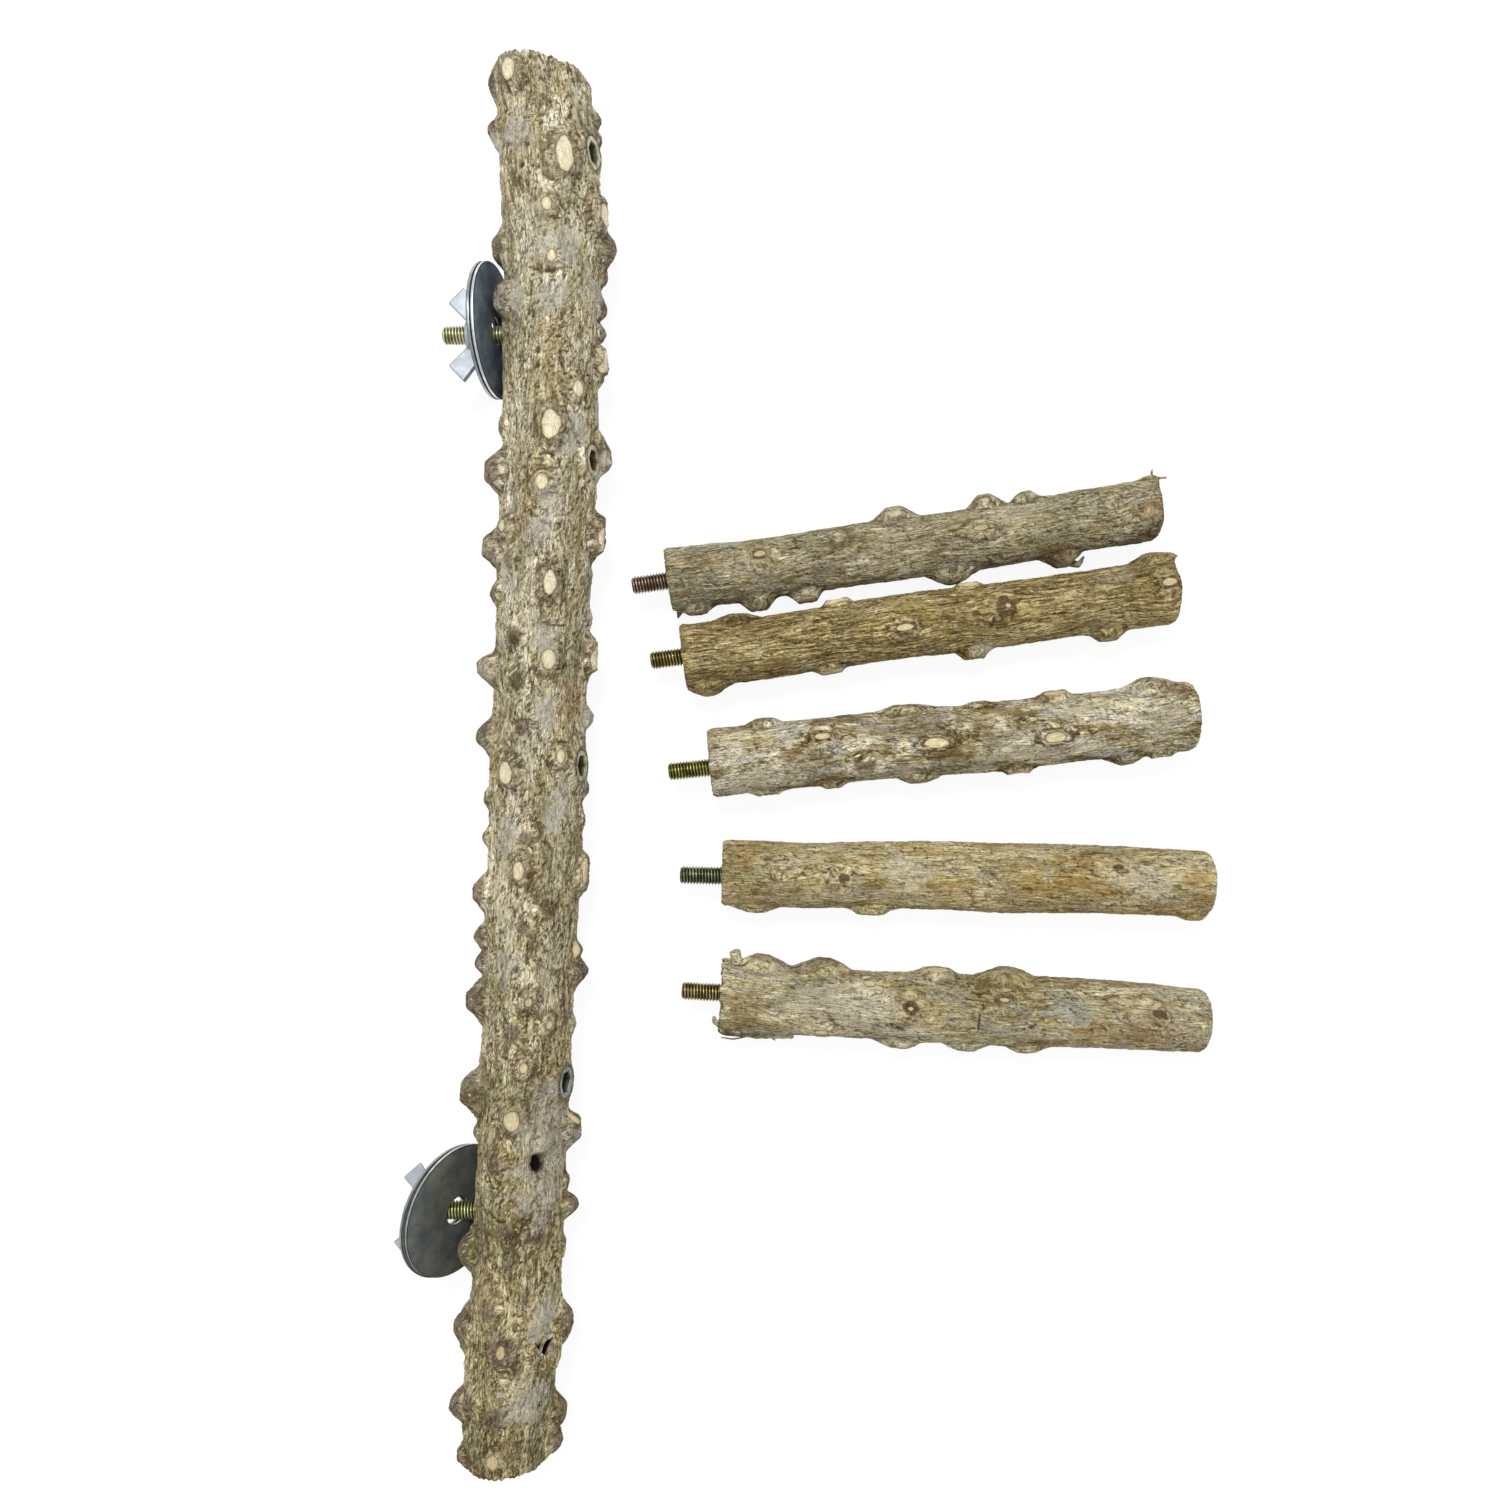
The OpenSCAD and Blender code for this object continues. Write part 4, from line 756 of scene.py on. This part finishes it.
# Thin bark, left as it grew: fibrous grey, streaky warm brown, pale in blotches, smooth and even khaki, and
# khaki with grey. All are dull, and only the fine fibres catch the light
branches = [{
    "name": "greyBranch", "material": "greyFibrousBark", "warmTint": "#94785a",
    "palette": ["#5d5132", "#877b5a", "#a89c7a", "#c6ba97", "#ece1bf"],
    "wood": ["#b3a27a", "#c9ba92", "#dccfab"],
    "hues": [["#b0a47c", 0.4], ["#8e9478", 0.4], ["#aaa097", 0.4], ["#89744f", 0.4]],
    "tones": [0.5, 0.65, 0.7, 0.85, 0.55], "girths": [1030, 1010, 980, 980, 980, 1000, 1020],
    "bows": [0, 4, 4, 6, 8, 4, 0],
    "overhang": [[-180, -100, -80, -55, -20, 30, 75, 180], [0, 0, 3, 1.4, 0, 0.3, -0.6, 0]],
    "cuts": [
        [190, -16, 1.7, 0.7, 6], [350, -34, 1.4, 0.6, 5], [634, -10, 2.2, 0.7, 6], [275, 84, 2.6, 2, 2],
        [174, 98, 3, 1.6, 2], [50, 86, 3, 1.4, 3],
    ],
    "slivers": [
        [0.8, [156, -8.6, 1, 1.4], [160.4, -9.6, 2, 0.7], [164.6, -9.2, 2, 0.25], [165, -9.2, 2, 0.5]],
        [0.8, [160.4, -9, 1, 0.6], [161.2, -12.6, 1, 0.25]],
        [0.7, [124, 8, -3, 1], [129.5, 12.2, -3, 1.5], [134, 14.1, -3, 1.1], [136.2, 11.7, -2.6, 0.25]],
        [0.6, [5, 8.3, -3, 1.6], [2.4, 9.8, -3, 1.4], [1.1, 12.2, -4, 0.2]],
    ],
    "dark": [[190, -16, 2.5, 1.8, 7], [365, -40, 2, 1.5, 7], [780, 75, 5, 3, 7], [990, 60, 4, 3, 6]],
    "warm": [[790, 62, 6, 4, 10], [970, 5, 4, 4, 8], [130, 70, 9, 4, 6], [620, -70, 5, 3, 5]],
    "pale": [
        [50, 70, 5, 4, 8], [275, 80, 4, 3, 9], [200, 50, 10, 4, 4], [480, -50, 9, 6, 4], [700, -40, 12, 5, 5],
    ],
    "grey": [[127, -56, 5.5, 2.6, 10]],
}, {
    "name": "brownBranch", "material": "warmStreakyBark", "warmTint": "#8e6a38",
    "palette": ["#4b3919", "#7d6a3a", "#a38e58", "#c6b17a", "#f2e0b0"],
    "hues": [["#b09c5c", 0.35], ["#7f7a48", 0.35], ["#a9936c", 0.35], ["#735834", 0.35]],
    "tones": [0.4, 0.65, 0.6, 1.15, 0.65], "girths": [1020, 990, 980, 980, 980, 1000, 1060],
    "bows": [3, 4, 0, -2, 0, 0, -4],
    "overhang": [[-180, -110, -88, -65, -40, 0, 60, 180], [0, 0, 4, 1.6, -0.6, 0.4, 0, 0]],
    "cuts": [
        [445.6, 6, 2.6, 0.9, 10], [325, -80, 4.2, 2.6, 2], [593, -78, 3.6, 2.3, 2], [296, 82, 3.6, 2.3, 3],
        [589, 96, 3, 1.6, 4], [975, -8, 2, 0.9, 10], [654, -8, 0.7, 0.6, 0],
    ],
    "dark": [[654, -8, 4, 3.4, 10], [450, 8, 4, 3, 6], [840, 10, 24, 14, 3]], "warm": [[985, 0, 3, 12, 6]],
    "pale": [[600, 66, 5, 4, 7], [250, 62, 5, 3, 7], [880, -40, 7, 4, 5]],
}, {
    "name": "paleBranch", "material": "paleMottledBark", "warmTint": "#7f6b45",
    "palette": ["#524423", "#8c7d55", "#bcae85", "#dccfa9", "#fff7da"],
    "hues": [["#d2c08a", 0.45], ["#979668", 0.35], ["#dcd8cb", 0.65], ["#836843", 0.55]],
    "tones": [0.9, 1.5, 1.15, 0.8, 0.7], "girths": [1000, 1000, 980, 970, 980, 1000, 1020],
    "bows": [0, -4, -4, 0, 0, 0, -4],
    "cuts": [
        [233, -22, 2.4, 0.8, 9], [461.5, 2, 3.8, 1.5, 9], [700, 10, 3.3, 1.5, 9], [723, -78, 3.5, 2.4, 2],
        [634, 84, 3.4, 2, 3], [933, 88, 2.6, 1.8, 4], [115, 84, 2.6, 1.6, 3], [251, 86, 1.8, 1.2, 4],
    ],
    "dark": [[315, 28, 4, 2, 7], [440, 60, 5, 3, 4], [880, 60, 4, 3, 4], [460, 0, 24, 14, 2.8]],
    "warm": [
        [190, 20, 9, 6, 10], [835, 15, 8, 3, 10], [420, -30, 16, 6, 9], [950, -60, 6, 5, 7],
        [500, 40, 12, 5, 9], [280, -60, 9, 4, 8], [560, -10, 5, 3, 8],
    ],
    "pale": [
        [80, 45, 12, 7, 10], [50, -10, 6, 8, 7], [660, 22, 14, 6, 10], [740, -40, 9, 5, 7], [920, 0, 8, 8, 7],
        [330, -30, 8, 4, 5],
    ],
}, {
    "name": "smoothBranch", "material": "smoothKhakiBark", "warmTint": "#a87c3e",
    "palette": ["#75622f", "#a89563", "#c4b27f", "#dacb99", "#f8eac1"],
    "hues": [["#c9b06c", 0.4], ["#a3a072", 0.4], ["#cbbda3", 0.5], ["#977648", 0.45]],
    "tones": [0.6, 0.9, 0.6, 0.7, 0.6], "eyes": 0.25, "girths": [960, 970, 990, 990, 1000, 1010, 990],
    "bows": [0, 0, -3, -4, -3, -2, 0], "cuts": [[123, -16, 1.2, 0.45, 6], [310, 96, 2.4, 1.4, 3]],
    "dark": [[247, -2, 1.8, 1.4, 10], [800, -28, 2, 1.4, 10], [720, -20, 7, 3, 3.5]],
    "warm": [[965, 34, 5, 4, 10], [900, 60, 12, 5, 7], [620, 20, 26, 7, 4.5], [40, -30, 6, 7, 6]],
    "pale": [[375, -5, 9, 6.5, 9], [860, -5, 12, 6, 9], [200, 30, 10, 6, 4], [600, -60, 12, 4, 5]],
}, {
    "name": "raggedBranch", "material": "khakiGreyBark", "warmTint": "#a1805a",
    "palette": ["#665830", "#9f9164", "#c1b488", "#d8cda4", "#f8eecb"],
    "hues": [["#c4b27a", 0.4], ["#a9ab90", 0.5], ["#c0b8ab", 0.45], ["#8f744b", 0.45]],
    "tones": [0.6, 0.9, 0.6, 0.6, 0.5], "eyes": 0.5, "skirt": 1.45, "chips": [2.5, 0.4],
    "girths": [1040, 1000, 990, 990, 990, 980, 930], "bows": [0, 3, 6, 3, 0, -2, 0],
    "cuts": [
        [445, -78, 3.2, 2, 3], [303, -44, 1.7, 1, 3], [386, -8, 0.8, 0.4, 10], [211, 44, 2, 1.2, 3],
        [575, -26, 1.6, 0.5, 8], [30, 92, 2, 1.4, 3],
    ],
    "cracks": [[533, -18, 528, 28, 0.3], [595, 24, 640, 12, 0.6], [340, 22, 370, 30, -0.5]],
    "slivers": [
        [0.9, [5, -10.5, 3, 2], [4.6, -12.6, 3, 1.9], [4.1, -14.6, 3, 1.9], [4, -14.9, 3, 1.5]],
        [
            0.4, [1.5, 11, -4, 1.6], [5, 12.2, -4, 2.2], [13, 12.4, -4, 2.3], [20, 12.1, -4, 2.4],
            [24.2, 11.8, -4, 2.2], [24.8, 11.8, -4, 1.6],
        ],
        [0.8, [1, 15.2, -5, 0.2], [5, 15.6, -5, 0.28], [10, 14.4, -5, 0.2]],
        [0.8, [12, 14.2, -5, 0.2], [17, 14.2, -5, 0.28], [19, 15.2, -5, 0.2]],
        [0.8, [0.4, 9, 3, 1.3], [-1.2, 8.6, 2, 0.9], [-1.6, 7, 2, 0.5]],
    ],
    "dark": [
        [386, -8, 2.6, 1.8, 10], [889, -15, 3, 1.7, 10], [40, 75, 8, 4, 8], [560, -26, 2, 1.2, 8],
        [860, 0, 20, 14, 2.8],
    ],
    "warm": [
        [735, 20, 5, 3, 10], [870, 10, 22, 11, 6], [470, -50, 12, 4, 5], [50, 10, 7, 6, 5], [380, 20, 7, 4, 5],
    ],
    "pale": [[250, -8, 20, 9, 8], [310, -44, 4, 3, 8], [600, 30, 10, 5, 6], [120, -50, 10, 5, 6]],
    "grey": [[710, -14, 7, 4, 10]],
}]
branchFrames = []
across = kit["branchStart"] * kit["trunkLength"]
for i, own in enumerate(branches):
    number, width = i + 1, kit["branchWidths"][i]
    length = kit["branchLength"] * kit["branchCuts"][i]
    across -= kit["branchSteps"][i] * (kit["branchWidths"][i - 1] + width) / 2
    place = moved(kit["branchPlaces"][i] * kit["trunkLength"], across, kit["branchStands"][i] * width)
    place = place @ turned(kit["branchTurns"][i] - 90, "Z")
    studFrame = moved(along(own["bows"], 0) * length - kit["studOffsets"][i] * width, 0, 0) @ turned(90, "X")
    branchFrames.append(place @ studFrame)
    spans = [["hueOne", 0.5, 0.62], ["hueOne", 0.5, 0.38], ["hueTwo", 0.52, 0.62], ["hueTwo", 0.48, 0.38]]
    log = {
        **branchBase, **own, "width": width, "length": length, "seed": 20 + i, "knobs": branchKnobs[i],
        "bores": [[studFrame, *kit["studBore"]]],
    }
    layers = [[*hue, *span] for hue, span in zip(own["hues"], spans)]
    layers += [[own["warmTint"], 0.55, "warm", 0.1, 0.9]] + branchLayers
    look = {**branchLook, "layers": layers, **{key: log[key] for key in ("palette", "tones", "wood")}}
    log["materials"] = [
        barkMaterial(own["material"], look),
        endMaterial(own["material"] + "End", ["#7c6a47", "#b09f78", "#d3c6a2"], "#57472c"),
    ]
    piece = makeLog(own["name"], log, place)
    fit(piece, "branch_%d" % number, "branch_%d" % number)


# Zinc plate: a thin coat whose tone drifts over spots of so many mm, duller and darker down in the threads, where
# the darkening is painted shade
def zincMaterial(name, coat, grooveShade=None, metallic=0.85, roughness=0.33, spot=3.85, bump=0.3):
    material, add = newMaterial(name)
    place = add("TexCoord", {}).outputs["Object"]
    shade = add("TexNoise", {"Vector": place, "Scale": 1 / (spot * mm), "Detail": 4, "Roughness": 0.65})
    colour = setStops(add("ValToRGB", {"Fac": shade}), [0.34, 0.5, 0.64], coat)
    if grooveShade:
        inGroove = add("Attribute", {}, attribute_name="grooveShade").outputs["Fac"]
        colour = layOver(add, colour, grooveShade, inGroove)
    closeMaterial(add, colour, shade, 0.05, bump, {"Metallic": metallic, "Roughness": roughness})
    return material


# A double-ended bolt along +Z: machine thread from start to tip, slimmer and coarser wood thread below
def threadedRod(name, low, start, tip, material, matrix):
    pitch, woodPitch, sides, crest, root, woodCrest, woodRoot, chamfer = rod.values()
    z = np.arange(low, tip + pitch / 24, pitch / 12)
    z[-1] = tip
    z, around = np.meshgrid(z, np.arange(sides) / sides, indexing="ij")
    fine, coarse = (np.abs(2 * ((z / step - around) % 1) - 1) for step in (pitch, woodPitch))
    machine = root + (crest - root) * smooth(0.12, 0.88, fine)
    wood = woodRoot + (woodCrest - woodRoot) * smooth(0.6, 1, coarse)
    radius = np.where(z < start, wood, machine)
    radius = np.minimum(radius, woodCrest * np.clip((z - low) / 5, 0.03, 1) + 9 * (z > start))
    radius = np.minimum(radius, crest - chamfer + (tip - z))
    # painted shade: dark in the roots of the machine thread, a little over the wood thread
    grooveShade = np.where(z < start, 0.2, smooth(0.75, 0.15, fine))
    rings = np.stack([radius * np.cos(2 * np.pi * around), radius * np.sin(2 * np.pi * around), z], -1)
    cap = rings[-1:] * [0.94, 0.94, 1], rings[-1:] * [0.5, 0.5, 1]
    piece = skinRings(name, np.concatenate([rings, *cap]), [material], matrix)
    giveAttribute(piece.data, "grooveShade", np.concatenate([grooveShade, np.zeros((2, sides))]).ravel())
    return piece


rod = {
    "pitch": 1, "woodPitch": 2.4, "sides": 32, "crest": 2.95, "root": 2.42, "woodCrest": 2.7, "woodRoot": 2,
    "chamfer": 0.8,
}
start = 0.42 * trunk["width"]  # where the machine thread starts, from the trunk's middle
# zinc passivated yellow and olive: a soft gleam of metal with a green-yellow cast
# the last colour of each row is painted shade in the thread roots
bolts = [
    ["upper", -5.5, 34.5, "yellowPassivatedZinc", ["#b5b284", "#dedcb4", "#fbf9e2"], "#67643c"],
    ["lower", -3.5, 36.5, "olivePassivatedZinc", ["#9b9e5c", "#d2d592", "#fbfdd2"], "#26280d"],
]
for clampFrame, (side, low, tip, finish, coat, grooveShade) in zip(clampFrames, bolts):
    material = zincMaterial(finish, coat, grooveShade)
    piece = threadedRod(side + "HangerBolt", low, start, tip, material, trunkPlace @ clampFrame)
    fit(piece, side + "_hanger_bolt", "trunk")

# zinc passivated copper-brown, golden, yellow-green, grey-green and bronze, as the photo shows it: a warm
# gleam that breaks up on the turns of the thread
# each second colour is painted shade in the thread roots
studCoats = [
    [["#6d5c4c", "#a58f7a", "#dccbb8"], "#3a2f22"], [["#6b5f3a", "#a3935c", "#d8c890"], "#362d12"],
    [["#6c6a38", "#a6a55e", "#d6d495"], "#35340f"], [["#5c5f4a", "#93967a", "#c6c9a8"], "#2d2f1a"],
    [["#6f633a", "#ad9f6a", "#ece2b0"], "#3a3114"],
]
hidden = kit["studBore"][1]
for i, (coat, grooveShade) in enumerate(studCoats, 1):
    material = zincMaterial("studZinc%d" % i, coat, grooveShade)
    piece = threadedRod("branchStud%d" % i, -hidden, 0, kit["studLengths"][i - 1], material, branchFrames[i - 1])
    fit(piece, "branch_stud_%d" % i, "branch_%d" % i)


insert = {
    "length": 13, "lip": 0.35, "rim": 5, "keyWidth": 6.2, "keyDepth": 4, "hole": 3, "root": 4.55, "pitch": 2.5,
    "sides": 72,
}
sharpEdge = math.radians(40)


# Insert: rounded lip, hexagon socket, clear bore below it, coarse thread outside
def makeInsert(name, material, matrix):
    length, lip, rim, keyWidth, depth, hole, root, pitch, sides = insert.values()
    around = np.arange(sides) * 2 * np.pi / sides
    fromFlat = np.abs(np.abs((around + np.pi / 6) % (np.pi / 3) - np.pi / 6) - np.pi / 6)
    key = keyWidth / 2 / np.cos(fromFlat)
    rows = [[hole, -length, 0.4], [rim - 0.5, -length, 0]]
    for z in np.arange(-length + 0.4, -1.2, 0.25):
        crest = smooth(0.4, 0.9, np.abs(2 * ((z / pitch - around / 2 / np.pi) % 1) - 1))
        rows.append([root + (rim - 0.02 - root) * crest, z, 0])
    rows += [[rim, -1, 0], [rim, -lip, 0], [rim - 0.3 * lip, -0.3 * lip, 0], [rim - lip, 0, 0]]
    rows += [[key + 0.25, 0, 0], [key + 0.05, -0.2, 0.2], [key, -0.6, 0.55], [key, -depth, 0.9]]
    rows += [[hole, -depth - 0.3, 1], [hole - 0.02, 0.1 - length, 1]]
    piece = skinRings(name, ringsOf([row[:2] for row in rows], sides), [material], matrix, joined=True)
    # painted shade: the socket and the bore darken with depth
    giveAttribute(piece.data, "grooveShade", np.repeat([row[2] for row in rows], sides))
    piece.data.set_sharp_from_angle(angle=sharpEdge)
    return piece


# dull zinc, scuffed by the key: half-matt grey-beige with no clear highlight
insertCoats = [
    ["#7c7a66", "#a29f87", "#c2bea5"], ["#7f7659", "#a79d79", "#c6bc97"], ["#79765c", "#9f9b7e", "#bfbb9c"],
    ["#5f625f", "#7f827d", "#a6a9a3"], ["#5d5948", "#8a8672", "#c8c5b4"],
]
for i, (insertFrame, coat) in enumerate(zip(insertFrames, insertCoats), 1):
    # its groove colour is painted shade deep in the socket
    name, grooveShade = "dullZincInsert%d" % i, "#35321f"
    material = zincMaterial(name, coat, grooveShade, metallic=0.7, roughness=0.45, spot=2.38, bump=0.4)
    piece = makeInsert("threadedInsert%d" % i, material, trunkPlace @ insertFrame)
    fit(piece, "threaded_insert_%d" % i, "trunk")

# Washers of zinc-plated steel: satin faces painted slate blue as a reflection of a dark room, corners in painted
# shade,
# bright rims where they rub. Wing nuts: a turned hub and two thick wings in one soft-edged zinc casting, pale
# grey-blue and half matt
clamps = [
    {
        "name": "upper", "stand": 17.825, "step": 1.313, "lean": 8, "turn": -1, "playY": 0.6, "playZ": 0.62,
        "face": ["#495c76", "#5f7184", "#778592"], "nutStand": 20.651, "nutTurn": 0,
        "rims": [["#c3c6c7", "#d9dbda", "#ececea"], ["#8b9094", "#a2a7aa", "#b9bdbf"]],
    },
    {
        "name": "lower", "stand": 20.15, "step": 1.562, "lean": 33, "turn": 7, "playY": 0, "playZ": 0,
        "face": ["#545a62", "#636864", "#73766f"], "nutStand": 26.327, "nutTurn": 35,
        "rims": [["#b2b4b1", "#c9cac5", "#dedfda"], ["#85888a", "#9b9e9e", "#b2b4b2"]],
    },
]
washer = {"outer": 21, "hole": 4.5, "half": 0.6, "edge": 0.24, "play": 1.55, "sides": 160}
nut = {
    "hubHeight": 6.4, "hubWidth": 11.4, "span": 29.8, "height": 12.1, "thick": 2.7, "bore": 3.02,
    "voxel": 0.22, "softness": 0.6, "softPasses": 7,
    "wing": [[0.27, 0.06], [0.42, 0.06], [1, 0.605], [0.67, 1], [0.27, 0.50]],
}
nutCoat = ["#8f959b", "#9da3a8", "#adb3b8"]
nutMaterial = zincMaterial("blueZincCasting", nutCoat, metallic=0.25, roughness=0.45, spot=5.55, bump=0.1)
hole, outer, half, edge = (washer[key] for key in ("hole", "outer", "half", "edge"))
washerOutline = [
    [hole + edge, -half], [outer - edge, -half], [outer - 0.3 * edge, 0.3 * edge - half], [outer, edge - half],
    [outer, half - edge], [outer - 0.3 * edge, half - 0.3 * edge], [outer - edge, half], [hole + edge, half],
    [hole + 0.3 * edge, half - 0.3 * edge], [hole, half - edge], [hole, edge - half],
    [hole + 0.3 * edge, 0.3 * edge - half],
]


def makeNut(name, matrix):
    half, top, bore = nut["hubWidth"] / 2, nut["hubHeight"], nut["bore"]
    outline = [
        [bore, 0], [half - 0.5, 0], [half, 0.5], [half, 1], [0.84 * half, top - 0.5], [0.84 * half - 0.5, top],
        [bore + 0.3, top], [bore, top - 0.3],
    ]
    piece = skinRings(name, ringsOf(outline, 64), [], joined=True)
    work = bmesh.new()
    work.from_mesh(piece.data)
    for side in (1, -1):
        flanks = []
        for y in (-nut["thick"] / 2, nut["thick"] / 2):
            points = [Vector((side * x * nut["span"] / 2, y, z * nut["height"])) for x, z in nut["wing"]]
            flanks.append([work.verts.new(point * mm) for point in points])
        near, far = flanks
        work.faces.new(near)
        work.faces.new(far[::-1])
        for j in range(len(near)):
            work.faces.new([near[j], near[j - 1], far[j - 1], far[j]])
    bmesh.ops.recalc_face_normals(work, faces=work.faces)
    work.to_mesh(piece.data)
    work.free()
    # hub and wings melt into one casting with soft edges
    fused = piece.modifiers.new("fused", "REMESH")
    fused.mode, fused.voxel_size = "VOXEL", nut["voxel"] * mm
    softened = piece.modifiers.new("softened", "SMOOTH")
    softened.factor, softened.iterations = nut["softness"], nut["softPasses"]
    mesh = bpy.data.meshes.new_from_object(piece.evaluated_get(bpy.context.evaluated_depsgraph_get()))
    piece.modifiers.clear()
    piece.data = mesh
    mesh.transform(matrix)
    mesh.shade_smooth()
    mesh.materials.append(nutMaterial)
    return piece


for clampFrame, clamp in zip(clampFrames, clamps):
    name = clamp["name"]
    # painted shade on the chamfered corners, which draws the dark line between the two washers
    dark = ["#24282c", "#2e3236", "#3a3e42"]
    face = zincMaterial(name + "WasherFaceReflection", clamp["face"], metallic=0.45, roughness=0.42, spot=6.25, bump=0.12)
    corner = zincMaterial(name + "WasherCornerShade", dark, metallic=0.5, roughness=0.5, spot=3.33, bump=0.1)
    for step, side in enumerate(("inner", "outer")):
        title = name + side.capitalize() + "Washer"
        rim = clamp["rims"][step]
        bright = zincMaterial(title + "Rim", rim, metallic=0.8, roughness=0.35, spot=3.33, bump=0.1)
        shift = washer["play"] * clamp["playZ"], washer["play"] * clamp["playY"]
        place = trunkPlace @ clampFrame @ moved(*shift, clamp["stand"] + step * clamp["step"])
        place = place @ turned(-clamp["lean"], "Y") @ turned(-clamp["turn"], "X")
        rings = ringsOf(washerOutline, washer["sides"])
        piece = skinRings(title, rings, [face, bright, corner], place, joined=True)
        # the outline's sides 0 and 6 are the flat faces with their painted reflection, 3 and 9 the rim and the
        # bore, the others corners in painted shade
        parts = [{0: 0, 6: 0, 3: 1, 9: 1}.get(j, 2) for j in range(len(rings))]
        piece.data.polygons.foreach_set("material_index", np.repeat(parts, washer["sides"]).astype(np.int32))
        piece.data.set_sharp_from_angle(angle=sharpEdge)
        body = "%s_%s_washer" % (name, side)
        fit(piece, body, body)
for clampFrame, clamp in zip(clampFrames, clamps):
    place = trunkPlace @ clampFrame @ moved(0, 0, clamp["nutStand"]) @ turned(90 + clamp["nutTurn"], "Z")
    body = clamp["name"] + "_wing_nut"
    fit(makeNut(clamp["name"] + "WingNut", place), body, body)

# White board: evenly white to the camera, and it still takes a faint soft shadow
stage = {
    "width": 4, "shadowShare": 0.11, "glow": 1.03, "world": 0.61, "cameraPlace": (-18.65, 5, 419.5),
    "lens": 30, "sensorWidth": 36,
    "lamps": [["softBox", (-0.1, 0.5, 1.35), 1.6, 6.2], ["keyLight", (-0.12, 0.45, 1), 0.2, 6.5]],
}
bpy.ops.mesh.primitive_plane_add(size=stage["width"])
table = bpy.context.object
table.name = "whiteTable"
material, add = newMaterial("whiteTableTop")
top = add("BsdfPrincipled", {"Base Color": "#fafafa", "Roughness": 0.9})
glow = add("Emission", {"Color": "#ffffff", "Strength": stage["glow"]})
seen = add("LightPath", {}).outputs["Is Camera Ray"]
share = add("Math", {0: seen, 1: 1 - stage["shadowShare"]}, operation="MULTIPLY")
add("OutputMaterial", {"Surface": add("MixShader", {0: share, 1: top, 2: glow})})
table.data.materials.append(material)

# Even white light all round, one wide soft box overhead and a small key light
world = bpy.data.worlds.new("studio")
scene.world = world
world.use_nodes = True
background = next(n for n in world.node_tree.nodes if n.bl_idname == "ShaderNodeBackground")
background.inputs["Color"].default_value = [1, 1, 1, 1]
background.inputs["Strength"].default_value = stage["world"]
for name, place, size, energy in stage["lamps"]:
    lamp = bpy.data.lights.new(name, "AREA")
    lamp.energy, lamp.size = energy, size
    light = bpy.data.objects.new(name, lamp)
    light.location = place
    light.rotation_euler = (-light.location).to_track_quat("-Z", "Y").to_euler()
    scene.collection.objects.link(light)

# Straight down from 0.42 m over the table
lens = bpy.data.cameras.new("overheadCamera")
lens.lens, lens.sensor_width = stage["lens"], stage["sensorWidth"]
camera = bpy.data.objects.new("overheadCamera", lens)
camera.location = Vector(stage["cameraPlace"]) * mm
scene.collection.objects.link(camera)
scene.camera = camera
scene.view_settings.view_transform = "Standard"
